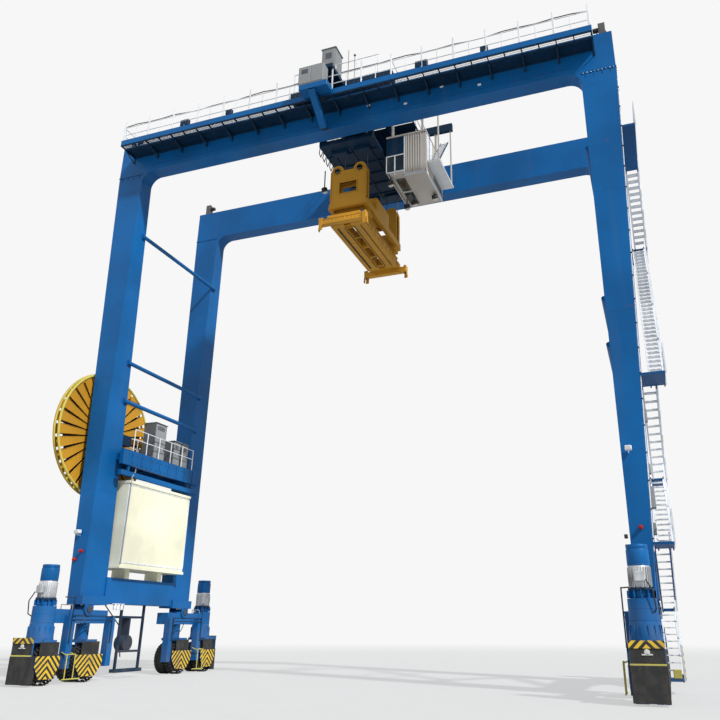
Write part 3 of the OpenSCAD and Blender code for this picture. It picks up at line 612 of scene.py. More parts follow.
class CRANE_OT_stage(bpy.types.Operator):
    """Camera, soft studio light and a pale floor"""
    bl_idname = "crane.stage"
    bl_label = "Stage"

    def execute(self, context):
        scene = context.scene
        clear()
        bpy.ops.object.camera_add(location=CAMERA_PLACE, rotation=CAMERA_TURN)
        camera = context.object
        camera.name = "View_camera"
        camera.data.sensor_width = 36
        camera.data.lens = CAMERA_LENS
        camera.data.shift_x = CAMERA_SHIFT
        camera.data.clip_end = 1000
        camera.data.dof.use_dof = False
        scene.camera = camera
        scene.view_settings.view_transform = "Standard"
        for name, turn, energy, angle in LAMPS:
            bpy.ops.object.light_add(type="SUN", rotation=turn)
            lamp = context.object
            lamp.name = name
            lamp.data.energy = energy
            lamp.data.angle = math.radians(angle)
        bpy.ops.mesh.primitive_circle_add(vertices=96, radius=FLOOR_RADIUS, fill_type="NGON")
        floor = settle()
        floor.name = "Studio_floor"
        floor.data.materials.append(self.floor_finish())
        self.backdrop(scene)
        return {"FINISHED"}

    @staticmethod
    def blended(tree, share, first, second, output):
        """Mixes two shaders by share into the output's surface."""
        blend = tree.nodes.new("ShaderNodeMixShader")
        tree.links.new(share.socket, blend.inputs[0])
        tree.links.new(first.outputs[0], blend.inputs[1])
        tree.links.new(second.outputs[0], blend.inputs[2])
        tree.links.new(blend.outputs[0], output.inputs["Surface"])

    def floor_finish(self):
        """A grey floor that fades to the white of the backdrop away from the crane."""
        f = Finish("Studio_floor_paint")
        mottle = f.noise(0.6, 3.0)
        f.colour(f.mix((0.44, 0.44, 0.43), (0.50, 0.50, 0.49), mottle))
        f.rough(0.8 + mottle * 0.1)
        far = 0.55 + 0.45 * (f.x * f.x + f.y * f.y).math("SQRT").ramp(*FLOOR_FADE)
        white = f.tree.nodes.new("ShaderNodeEmission")
        white.inputs["Color"].default_value = BACKDROP
        seen = f.tree.nodes.new("ShaderNodeLightPath")
        self.blended(f.tree, far * Value(f.tree, seen.outputs["Is Camera Ray"]), f.shader, white,
                     f.tree.nodes["Material Output"])
        return f.material

    def backdrop(self, scene):
        """A soft blue light that the camera sees as white, and shiny paint as partly white."""
        world = scene.world or bpy.data.worlds.new("Studio")
        scene.world = world
        world.use_nodes = True
        tree = world.node_tree
        tree.nodes.clear()
        path = tree.nodes.new("ShaderNodeLightPath")
        eye, through, glossy = (Value(tree, path.outputs[name]) for name in
                                ("Is Camera Ray", "Is Transmission Ray", "Is Glossy Ray"))
        soft, plain = (tree.nodes.new("ShaderNodeBackground") for _ in range(2))
        soft.inputs["Color"].default_value = SKY
        soft.inputs["Strength"].default_value = SKY_STRENGTH
        plain.inputs["Color"].default_value = BACKDROP
        shown = eye.math("MAXIMUM", through).math("MAXIMUM", glossy * 0.35)
        self.blended(tree, shown, soft, plain, tree.nodes.new("ShaderNodeOutputWorld"))


class CRANE_OT_paint(bpy.types.Operator):
    """Finishes on the frame's own pieces"""
    bl_idname = "crane.paint"
    bl_label = "Paint the frame"

    def execute(self, context):
        make_finishes()
        for part in frame["record"]["subparts"]:
            node = frame["nodes"][part["node"]]
            node.data.materials.clear()
            node.data.materials.append(FINISHES[OWN_FINISH.get(part["node"], part["material_slot"])])
        return {"FINISHED"}


class CRANE_OT_wheels(bpy.types.Operator):
    """Tyres with treads on dished rims"""
    bl_idname = "crane.wheels"
    bl_label = "Wheels"

    def tyre(self, side):
        """One tyre of a twin set, with both rows of lugs."""
        deep, count = sizes().lug_depth, sizes().lug_count
        at(WHEEL_LINE + side * 0.305, DRIVE_Y, TYRE_R)
        axle = ORIGIN.copy()
        body = disc((0, 0, 0), TYRE_R - deep, 0.43, 64)
        edit(body, lambda f: abs(f.normal.x) > 0.9)
        for thickness, depth in ((0.07, 0.0), (0.20, 0.018), (0.055, -0.03), (0.02, -0.08)):
            bpy.ops.mesh.inset(thickness=thickness, depth=depth)
        done()
        tread = TYRE_R - deep - 0.02
        edit(body, lambda f: abs(f.normal.x) < 0.3 and (f.center - axle).yz.length > tread)
        bpy.ops.mesh.bevel(offset=0.03, segments=3, affect="EDGES")
        done()
        lugs = []
        half = Vector((0.19, 0.085, deep + 0.012)) / 2
        for s in (-1, 1):
            place = Vector((s * 0.105, 0, TYRE_R - deep / 2 - 0.009))
            lug = round_edges(slab(place - half, place + half, 0, (0, 0, -s * 0.35)), 0.006, 1)
            if s > 0:
                lug = turned(lug, math.pi / count)
            lugs.append(ring(lug, count))
        return [body, *lugs]

    def rim(self, side):
        """The dished disc, nuts and hub on one side of a wheel set."""
        at(WHEEL_LINE, DRIVE_Y, TYRE_R)
        dish = disc((side * 0.44, 0, 0), 0.385, 0.05, 48)
        edit(dish, lambda f: f.normal.x * side > 0.9)
        for thickness, depth in ((0.02, 0.035), (0.03, 0.0), (0.02, -0.05), (0.10, -0.02), (0.05, 0.03),
                                 (0.02, 0.04)):
            bpy.ops.mesh.inset(thickness=thickness, depth=depth)
        done()
        nut = rod((side * 0.43, 0, 0.2), (side * 0.485, 0, 0.2), 0.018, 6)
        hub = rod((side * 0.40, 0, 0), (side * 0.50, 0, 0), 0.11, 24, 0.012)
        return [dish, ring(nut, 10), hub]

    def execute(self, context):
        tyres = [part for side in (-1, 1) for part in self.tyre(side)]
        rims = [part for side in (-1, 1) for part in self.rim(side)]
        rims.append(rod((-0.42, 0, 0), (0.42, 0, 0), 0.07, 24))
        for corner, (sx, sy) in CORNERS.items():
            for kind, y in (("drive", DRIVE_Y), ("idle", IDLE_Y)):
                body = f"{corner}_{kind}_wheel"
                for name, parts, finish in (("tyres", tyres, "tyre"), ("rims", rims, "grey_paint")):
                    copies = mirrored(parts, sx, sy)
                    for copy in copies:
                        copy.location = (0, sy * (y - DRIVE_Y), 0)
                    bpy.ops.object.transform_apply(location=True, rotation=False, scale=False)
                    joined(f"{body}_{name}", copies, body, finish, (body,) if name == "tyres" else ())
        discard(tyres + rims)
        return {"FINISHED"}


class CRANE_OT_walkways(bpy.types.Operator):
    """Plates, gratings, brackets, posts and the safety cable of the walkways"""
    bl_idname = "crane.walkways"
    bl_label = "Walkways"

    def execute(self, context):
        low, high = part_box("front_walkway")
        rail_low, rail_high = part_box("walkway_railings")
        top = rail_low.z
        long, deep, _ = high - low
        split = 0.42
        pitch = sizes().bar_pitch
        spans = 16
        step = (long - 0.08) / spans
        at(low.x, low.y, top)
        # The closed dark plate over the inner part of the deck is partly a real plate and partly painted
        # shade, for the dark band of shadow under the walkway
        deck = [slab((0, split, -0.05), (long, deep, -0.006), 0.004),
                row(slab((0.02, 0.02, -0.03), (0.026, split, 0), 0), int((long - 0.04) / pitch),
                    (pitch, 0, 0)),
                row(slab((0, 0.06, -0.012), (long, 0.066, 0), 0), 4, (0, 0.1, 0)),
                *[slab((0, y, -0.11), (long, y + 0.05, -0.05), 0.004) for y in (0.012, split)],
                slab((0, deep - 0.06, -0.13), (long, deep, -0.03), 0.006),
                row(slab((0, 0.012, -0.10), (0.05, split, -0.035), 0), 2 * spans + 1,
                    ((long - 0.05) / (2 * spans), 0, 0)),
                row(slab((0.033, split, -0.15), (0.047, deep, -0.05), 0), spans + 1, (step, 0, 0)),
                row(slab((0, deep - 0.022, -0.45), (0.08, deep - 0.002, -0.05), 0), spans + 1,
                    (step, 0, 0)),
                row(bar((0.04, split, -0.13), (0.04, deep - 0.02, -0.43), 0.07, 0.016), spans + 1,
                    (step, 0, 0))]
        edge = high.z - top
        fascia = [slab((0, 0, -0.05), (long, 0.012, edge), 0.004),
                  slab((0, 0, edge - 0.012), (long, 0.045, edge), 0.003)]
        end = rail_high.x - 0.03
        step = (2 * end - 0.07) / spans
        at(-end, low.y + 0.06, top)
        posts = [row(slab((0, -0.02, 0), (0.07, 0.02, 1.52), 0.006), spans + 1, (step, 0, 0)),
                 row(slab((0.75, -0.015, 0), (0.785, 0.015, 1.06), 0.004), spans, (step, 0, 0))]
        cable = pipe([(k * end / 16, 0.04, 1.16 + 0.04 * math.sin(k * 1.9) + 0.03 * math.sin(k * 0.7))
                      for k in range(33)], 0.022, 8)
        at(0, low.y + 0.06, top + 0.32)
        packs = [slab((x, -0.02, 0), (x + w, 0.16, h), 0.015)
                 for x, w, h in ((-8.6, 0.5, 0.35), (-5.9, 0.35, 0.3), (4.2, 0.6, 0.35),
                                 (7.3, 0.35, 0.28))]
        spread(SIDES, ("{0}_walkway_grating", deck, "portal", "dark_blue", ("{1}_walkway",)),
               ("{0}_walkway_fascia", fascia, "portal", "crane_blue"),
               ("{0}_rail_posts", posts, "portal", "white_paint"),
               ("{0}_rail_cable", cable, "portal", "tyre"),
               ("{0}_rail_boxes", packs, "portal", "dark_blue"))
        return {"FINISHED"}


class CRANE_OT_joints(bpy.types.Operator):
    """Bolts and gussets of the leg joints, service lines and boxes on the legs and girders"""
    bl_idname = "crane.joints"
    bl_label = "Leg joints and service lines"

    def execute(self, context):
        radius = sizes().bolt_size / 2
        low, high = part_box("front_girder")
        front = low.y
        at(0, front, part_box("front_right_leg")[1].z)
        bolts = [row(rod((x, y, -0.075), (x, y, -0.035), radius, 6), count, step)
                 for x, y, count, step in ((11.62, -0.012, 9, (0.16, 0, 0)),
                                           (high.x + 0.012, 0.06, 5, (0, 0.16, 0)))]
        gussets = [row(slab((11.70, -0.022, -0.26), (11.716, 0, -0.04), 0.004), 4, (0.36, 0, 0))]
        spread(CORNERS, ("{0}_joint_bolts", bolts, "portal", "steel"),
               ("{0}_joint_gussets", gussets, "portal", "crane_blue"))
        at()
        foot, head = 4.6, 24.8
        tray = [rod((leg_outside(foot) + 0.03, -3.75 + k * 0.07, foot),
                    (leg_outside(head) + 0.03, -3.75 + k * 0.03, head), 0.022, 10) for k in range(4)]
        clips = [slab((leg_outside(z) - 0.004, -3.80, z), (leg_outside(z) + 0.06, -3.48, z + 0.04), 0.004)
                 for z in range(5, 25)]
        boxes = []
        for z, y, w, h, d in ((6.1, -3.55, 0.5, 0.75, 0.22), (7.3, -3.6, 0.3, 0.35, 0.15),
                              (9.2, -3.7, 0.35, 0.45, 0.16), (5.2, -3.4, 0.35, 0.4, 0.18)):
            at(leg_outside(z), y, z)
            boxes.append(slab((-0.005, 0, 0), (d, w, h), 0.015))
        pieces("portal", ("Right_leg_cables", tray, "white_paint"),
               ("Right_leg_clips", clips, "dark_blue"),
               ("Right_leg_boxes", boxes, "grey_paint"))
        lamps, lenses, reds = [], [], []
        for x, z, half in ((-11.98, 6.1, 0.13), (11.78, 8.05, 0.12)):
            at(x, front, z)
            lamps += [slab((-half, -0.30, 0), (half, -0.08, 0.16), 0.02),
                      rod((0, -0.2, -0.06), (0, 0.05, -0.06), 0.02, 10),
                      rod((0, -0.19, -0.07), (0, -0.19, 0.02), 0.02, 10)]
            lenses.append(slab((0.02 - half, -0.306, 0.02), (half - 0.02, -0.298, 0.14), 0.003))
        for x, z in ((-11.75, 5.35), (11.91, 5.38), (-12.05, 5.0)):
            at(x, front, z)
            reds += [rod((0, -0.14, 0), (0, 0.01, 0), 0.075, 20, 0.01),
                     rod((0, -0.17, 0), (0, -0.14, 0), 0.045, 16, 0.01)]
        at(-11.24, 0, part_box("left_sill_beam")[0].z)
        cans = [rod((0, y, -0.27), (0, y, -0.02), 0.07, 20, 0.015) for y in (-2.02, -1.82, -1.56)]
        cans.append(slab((-0.08, -2.12, -0.03), (0.08, -1.46, 0.004), 0.006))
        at(0, front)
        plugs = [slab((11.33, -0.11, z), (11.45, 0.01, z + 0.14), 0.015) for z in (4.68, 5.02)]
        small = [slab((x, -0.05, z), (x + 0.16, 0.004, z + 0.1), 0.01)
                 for x, z in ((3.3, 25.5), (5.1, 26.0), (6.9, 25.6), (1.4, 25.9))]
        conduit = [rod((-11.0, -0.025, 25.42), (11.2, -0.025, 25.42), 0.018, 10)]
        pieces("portal", ("Right_leg_plugs", plugs, "tyre"), ("Left_filters", cans, "white_paint"),
               ("Leg_lamps", lamps, "white_paint"), ("Leg_lamp_lenses", lenses, "lens"),
               ("Emergency_stops", reds, "red"), ("Girder_boxes", small, "white_paint"),
               ("Girder_conduit", conduit, "crane_blue"))
        return {"FINISHED"}


class CRANE_OT_rails(bpy.types.Operator):
    """Clips of the trolley rails, and the buffers and eyes of the end stops"""
    bl_idname = "crane.rails"
    bl_label = "Rails and end stops"

    def execute(self, context):
        low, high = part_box("front_girder")
        mid = (low.y + high.y) / 2
        at(0, mid, high.z)
        clips = [row(slab((-12.2, y, 0), (-12.1, y + 0.095, 0.05), 0.008), 49, (0.5, 0, 0))
                 for y in (-0.15, 0.055)]
        buffers = [rod((s * 12.45, 0, 0.55), (s * 12.2, 0, 0.55), 0.11, 24, 0.02) for s in (-1, 1)]
        spread(SIDES, ("{0}_rail_clips", clips, "portal", "steel"),
               ("{0}_buffers", buffers, "portal", "tyre"))
        at(0, 0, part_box("trolley_rails")[1].z + 0.02)
        eyes = [torus((s * 12.6, y, 0), 0.09, 0.02, 24, 8) for s in (-1, 1) for y in (mid, -mid)]
        joined("Stop_eyes", eyes, "portal", "crane_blue")
        return {"FINISHED"}


class CRANE_OT_stairs(bpy.types.Operator):
    """White strings, landing edges and the foot of the stairs"""
    bl_idname = "crane.stairs"
    bl_label = "Stairs"

    def execute(self, context):
        run, wide = 2.3, 0.56
        last = len(STAIR_LEVELS) - 2
        strings, edges = [], []
        for k, (z0, z1) in enumerate(zip(STAIR_LEVELS, STAIR_LEVELS[1:])):
            side = -1 if k % 2 == 0 else 1
            y0 = -0.9 if k == 0 else side * run
            y1 = 0.0 if k == last else -side * run
            at(math.ceil(1000 * leg_outside(max(z1, LEG_FOOT_Z))) / 1000 + 0.02)
            slope = Vector((0, y1 - y0, z1 - z0)).normalized() * 0.12
            for x in (0.025, wide - 0.025):
                strings.append(bar(Vector((x, y0, z0 - 0.05)) + slope, Vector((x, y1, z1 - 0.05)) - slope,
                                   0.062, 0.20))
            if k < last:
                low_y, high_y = sorted((y1, y1 - side * LANDING))
                edges.append(slab((wide - 0.006, low_y + 0.02, z1 - 0.088),
                                  (wide + 0.006, high_y - 0.02, z1 - 0.002), 0.003))
        at(leg_outside(LEG_FOOT_Z) + 0.02 + wide, -1.8)
        post = [rod((0.03, 0.05, 0.45), (0.03, 0.05, 1.55), 0.035, 12)]
        case = [slab((-0.34, 0.02, 0.50), (-0.06, 0.14, 0.80), 0.02)]
        pieces("portal", ("Stair_strings", strings, "white_paint"),
               ("Landing_edges", edges, "crane_blue"),
               ("Stair_foot_post", post, "stripes"), ("Stair_foot_box", case, "post_yellow"))
        return {"FINISHED"}


class CRANE_OT_reel(bpy.types.Operator):
    """Wound cable, spoke ribs, rims, hub and motor of the cable reel"""
    bl_idname = "crane.reel"
    bl_label = "Cable reel"

    def execute(self, context):
        low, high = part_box("cable_reel")
        centre = (low + high) / 2
        radius, half = (high.z - low.z) / 2, (high.x - low.x) / 2
        thick = sizes().cable
        at(*centre)
        turns = [torus((0, 0, 0), REEL_CORE + k * thick * 1.05, thick / 2, 72, 6, "X")
                 for k in range(REEL_TURNS)]
        ribs = []
        for x in (-half - 0.012, half - 0.004):
            for angle in (-0.028, 0.028):
                rib = slab((x, -0.012, 0.78), (x + 0.016, 0.012, radius - 0.13), 0.004)
                ribs.append(ring(turned(rib, math.pi / REEL_PETALS + angle), REEL_PETALS))
        rims = [torus((x, 0, 0), radius - 0.06, 0.055, 96, 8, "X") for x in (-half - 0.002, half + 0.002)]
        at(low.x, centre.y, centre.z)
        hub = [rod((-0.06, 0, 0), (0.01, 0, 0), 0.36, 40, 0.02),
               rod((-0.12, 0, 0), (-0.05, 0, 0), 0.22, 32, 0.02),
               ring(rod((-0.085, 0, 0.3), (-0.055, 0, 0.3), 0.025, 6), 12)]
        pieces("cable_reel", ("Reel_cable", turns, "tyre"), ("Reel_ribs", ribs, "spreader_yellow"),
               ("Reel_rims", rims, "post_yellow"), ("Reel_hub", hub, "grey_paint"))
        at(high.x + 0.03, centre.y, centre.z + 0.28)
        motor = [rod((0, 0, 0), (0, 0.75, 0), 0.14, 24, 0.02),
                 rod((0, 0.75, 0), (0, 0.82, 0), 0.10, 24, 0.01)]
        at()
        lead = pipe([(centre.x, centre.y + 0.4, 8.05), (centre.x, centre.y + 0.45, 4.2),
                     (-12.3, -0.3, 2.3), (-12.0, -0.3, 0.9)], thick / 2)
        pieces("portal", ("Reel_motor", motor, "silver"), ("Reel_lead", lead, "tyre"))
        return {"FINISHED"}


class CRANE_OT_house(bpy.types.Operator):
    """Doors, trim, louvres and coolers of the electrical house, and the cabinets above it"""
    bl_idname = "crane.house"
    bl_label = "Electrical house"

    def execute(self, context):
        low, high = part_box("electrical_house")
        base = low.z + 0.59
        tall = high.z - 0.1 - base
        at(high.x - 0.06, 0, base)
        trim = [slab((-0.002, y - 0.035, 0), (0.02, y + 0.035, tall), 0.006)
                for y in (low.y + 0.06, high.y - 0.06)]
        trim += [slab((-0.002, low.y + 0.03, z - 0.04), (0.02, high.y - 0.03, z + 0.04), 0.006)
                 for z in (0.08, tall - 0.06)]
        bolts = [row(rod((0, low.y + 0.06, z), (0.028, low.y + 0.06, z), 0.014, 6), 12,
                     (0, (high.y - low.y - 0.12) / 11, 0)) for z in (0.08, tall - 0.06)]
        doors, dark = [], []
        for y in (-1.9, -0.65, 0.6):
            at(low.x + 0.06, y, base)
            doors += [slab((-0.03, 0, 0.15), (0.002, 0.95, 2.25), 0.01),
                      slab((-0.06, 0.80, 1.15), (-0.028, 0.84, 1.35), 0.008)]
            dark.append(row(slab((-0.036, 0.2, 1.55), (-0.028, 0.7, 1.575), 0.002), 9, (0, 0, 0.05)))
        for y in (-1.7, 0.9):
            at(low.x + 0.06, y, base)
            doors.append(slab((-0.30, 0, 2.55), (0.002, 1.0, 3.2), 0.03))
            dark += [row(slab((-0.312, 0.1, 2.62), (-0.295, 0.62, 2.64), 0.002), 10, (0, 0, 0.05)),
                     rod((-0.312, 0.8, 2.88), (-0.298, 0.8, 2.88), 0.13, 24, 0.004)]
        at(low.x, low.y, high.z)
        vents = [slab((0.2, y, -0.005), (0.9, y + 0.8, 0.12), 0.02) for y in (0.5, 2.1)]
        pieces("portal", ("House_trim", trim, "white_paint"), ("House_bolts", bolts, "steel"),
               ("House_doors", doors, "cream_paint"), ("House_louvres", dark, "grey_paint"),
               ("House_roof_vents", vents, "grey_paint"))
        low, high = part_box("control_cabinets")
        deep, _, tall = high - low
        at(high.x, 0, low.z)
        panel, dark = [], []
        for y0, y1, z in ((-0.7, 0.2, tall), (0.9, 1.5, tall - 0.6), (1.6, 2.2, tall - 0.6)):
            panel += [slab((-0.004, y0 + 0.04, 0.08), (0.022, y1 - 0.04, z - 0.06), 0.006),
                      slab((-deep - 0.03, y0 - 0.02, z - 0.001), (0.05, y1 + 0.02, z + 0.03), 0.006)]
            dark += [slab((0.018, y1 - 0.12, 0.55), (0.05, y1 - 0.09, 0.75), 0.005),
                     row(slab((0.018, y0 + 0.12, z - 0.35), (0.028, y1 - 0.2, z - 0.33), 0.002), 5,
                         (0, 0, 0.045))]
        low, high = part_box("equipment_platform")
        at(high.x, low.y, high.z)
        nuts = [row(rod((0, 0.7, z), (0.03, 0.7, z), 0.022, 6), 14, (0, 0.36, 0)) for z in (-0.2, -0.6)]
        stiff = [row(slab((-0.005, 0.62, -0.70), (0.02, 0.635, -0.02), 0.003), 8, (0, 0.70, 0))]
        at(high.x)
        hoses = pipe([(-0.1, -2.0, 10.3), (-0.1, -2.0, 9.2), (0.05, -2.35, 8.9), (0.05, -2.38, 4.9)],
                     0.035)
        pieces("portal", ("Cabinet_doors", panel, "grey_paint"), ("Cabinet_handles", dark, "dark_blue"),
               ("Platform_bolts", nuts, "steel"), ("Platform_stiffeners", stiff, "crane_blue"),
               ("House_conduits", hoses, "grey_paint"))
        return {"FINISHED"}


class CRANE_OT_bogies(bpy.types.Operator):
    """Motors with fins, warning plates, aprons, guards, frames and hoses of the bogies"""
    bl_idname = "crane.bogies"
    bl_label = "Bogies"

    def execute(self, context):
        at(WHEEL_LINE, DRIVE_Y)
        cap_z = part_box("front_right_bogie")[1].z
        motor = [rod((0, 0, 3.31), (0, 0, 3.99), 0.335, 40, 0.02),
                 ring(slab((0.325, -0.006, 3.36), (0.362, 0.006, 3.94), 0.002), 28, axis=UP),
                 slab((-0.16, -0.47, 3.5), (0.16, -0.33, 3.8), 0.02)]
        cap = [rod((0, 0, z0), (0, 0, z1), radius, 40, edge) for z0, z1, radius, edge in
               ((4.0, 4.05, 0.345, 0.01), (4.05, 4.50, 0.347, 0.02), (4.50, cap_z, 0.335, 0.04))]
        flange = [rod((0, 0, 3.24), (0, 0, 3.31), 0.40, 40, 0.01),
                  ring(rod((0.37, 0, 3.30), (0.37, 0, 3.34), 0.018, 6), 16, axis=UP)]
        motor_ribs = [ring(slab((0.32, -0.012, 3.02), (0.44, 0.012, 3.24), 0.004), 12, axis=UP)]
        bell_ribs = [ring(slab((0.44, -0.012, 1.86), (0.505, 0.012, 2.22), 0.004), 14, axis=UP)]
        hoses = pipe([(0.18, -0.45, 3.55), (0.36, -0.52, 3.2), (0.40, -0.42, 2.7), (0.30, -0.1, 2.5)],
                     0.022)
        at(WHEEL_LINE, IDLE_Y)
        hoses += pipe([(-0.33, -0.3, 2.4), (-0.37, -0.1, 2.1), (-0.30, 0.05, 1.9)], 0.018)
        at(WHEEL_LINE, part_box("front_right_drive_fork")[0].y)
        stripes = [slab((-0.52, -0.003, 1.57), (0.52, 0.02, 1.79), 0.004)]
        apron = [slab((-0.53, -0.003, 0.08), (0.53, 0.015, 1.10), 0.01),
                 *[slab((x - 0.01, -0.003, 0.10), (x + 0.01, 0.297, 1.10), 0.005) for x in (-0.52, 0.52)],
                 row(slab((-0.50, -0.006, 1.02), (-0.46, 0.001, 1.06), 0.004), 6, (0.192, 0, 0))]
        strip = [slab((-0.52, -0.006, 1.10), (0.52, 0.009, 1.15), 0.004)]
        lamp = [rod((0, -0.003, 1.47), (0, 0.03, 1.47), 0.085, 24, 0.01),
                slab((-0.16, -0.003, 1.38), (0.16, 0.03, 1.42), 0.006)]
        recess = [slab((-0.50, 0.02, 1.14), (0.50, 0.04, 1.58), 0.004)]
        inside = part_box("front_right_idle_fork")[0].x
        plates, shields = [], []
        for y, reach, shield in ((DRIVE_Y, 0.64, 0.50), (IDLE_Y, 0.80, 0.52)):
            at(inside, y)
            plates.append([slab((-0.012, -reach, 0.70), (0.004, reach, 1.10), 0.003),
                           tapered((-0.012, -reach, 0.25), (0.004, reach, 0.705), 0.55)])
            shields.append([slab((-0.006, -shield, 1.105), (0.012, shield, 1.62), 0.004)])
        at(WHEEL_LINE)
        x = inside - WHEEL_LINE - 0.22
        guard = [rod((x, -4.96, 0.20), (x, -3.98, 0.20), 0.026, 10),
                 rod((x, -4.86, 1.14), (x, -4.36, 1.14), 0.018, 10)]
        for y in (-4.84, -4.38):
            guard += [rod((x, y, 0.20), (x, y, 1.14), 0.022, 10),
                      rod((x, y, 1.10), (-0.45, y + 0.05, 1.22), 0.02, 8)]
        x = -0.655
        lattice = pipe([(x, -4.70, 3.38), (-0.40, -5.0, 3.38)], 0.022, 8)
        for y, top, inner in ((-4.70, 3.40, -4.62), (-2.25, 2.66, -2.20)):
            lattice.append(rod((x, y, 1.55), (x, y, top), 0.025, 10))
            lattice += [rod((x, y, z), (-0.60, inner, z), 0.02, 8) for z in (1.6, 2.6)]
        lattice += [rod((x, -4.70, z), (x, -2.25, z), 0.022, 8) for z in (2.64, 2.48)]
        rail = pipe([(-0.26, -5.0, 2.9), (-0.26, -5.0, 3.08), (-0.26, -4.35, 3.08), (-0.26, -4.35, 2.9)],
                    0.02, 8)
        at(WHEEL_LINE, PIN_Y, PIN_Z)
        nuts = []
        for e in (-1, 1):
            nuts.append(rod((e * 0.39, 0, 0), (e * 0.43, 0, 0), 0.13, 28, 0.01))
            nuts.append(ring(rod((e * 0.392, 0, 0.19), (e * 0.42, 0, 0.19), 0.018, 6), 10))
        bogie, fork, idle = "{0}_bogie", "{0}_drive_fork", "{0}_idle_fork"
        spread(CORNERS, ("{0}_motor", motor, bogie, "silver"),
               ("{0}_motor_cap", cap, bogie, "crane_blue"),
               ("{0}_motor_flange", flange, bogie, "dark_blue"),
               ("{0}_stripes", stripes, fork, "stripes"),
               ("{0}_drive_stripes", plates[0], fork, "stripes"),
               ("{0}_idle_stripes", plates[1], idle, "stripes"),
               ("{0}_guard", guard, bogie, "post_yellow"), ("{0}_apron", apron, fork, "tyre"),
               ("{0}_apron_strip", strip, fork, "post_yellow"), ("{0}_lamp", lamp, fork, "lens"),
               ("{0}_drive_shield", shields[0] + recess, fork, "tyre"),
               ("{0}_idle_shield", shields[1], idle, "tyre"),
               ("{0}_motor_ribs", motor_ribs, bogie, "crane_blue"),
               ("{0}_bell_ribs", bell_ribs, fork, "crane_blue"),
               ("{0}_hoses", hoses, bogie, "tyre"), ("{0}_cable_frame", lattice, bogie, "dark_blue"),
               ("{0}_beam_rail", rail, bogie, "grey_paint"), ("{0}_pin_nuts", nuts, "portal", "steel"))
        return {"FINISHED"}


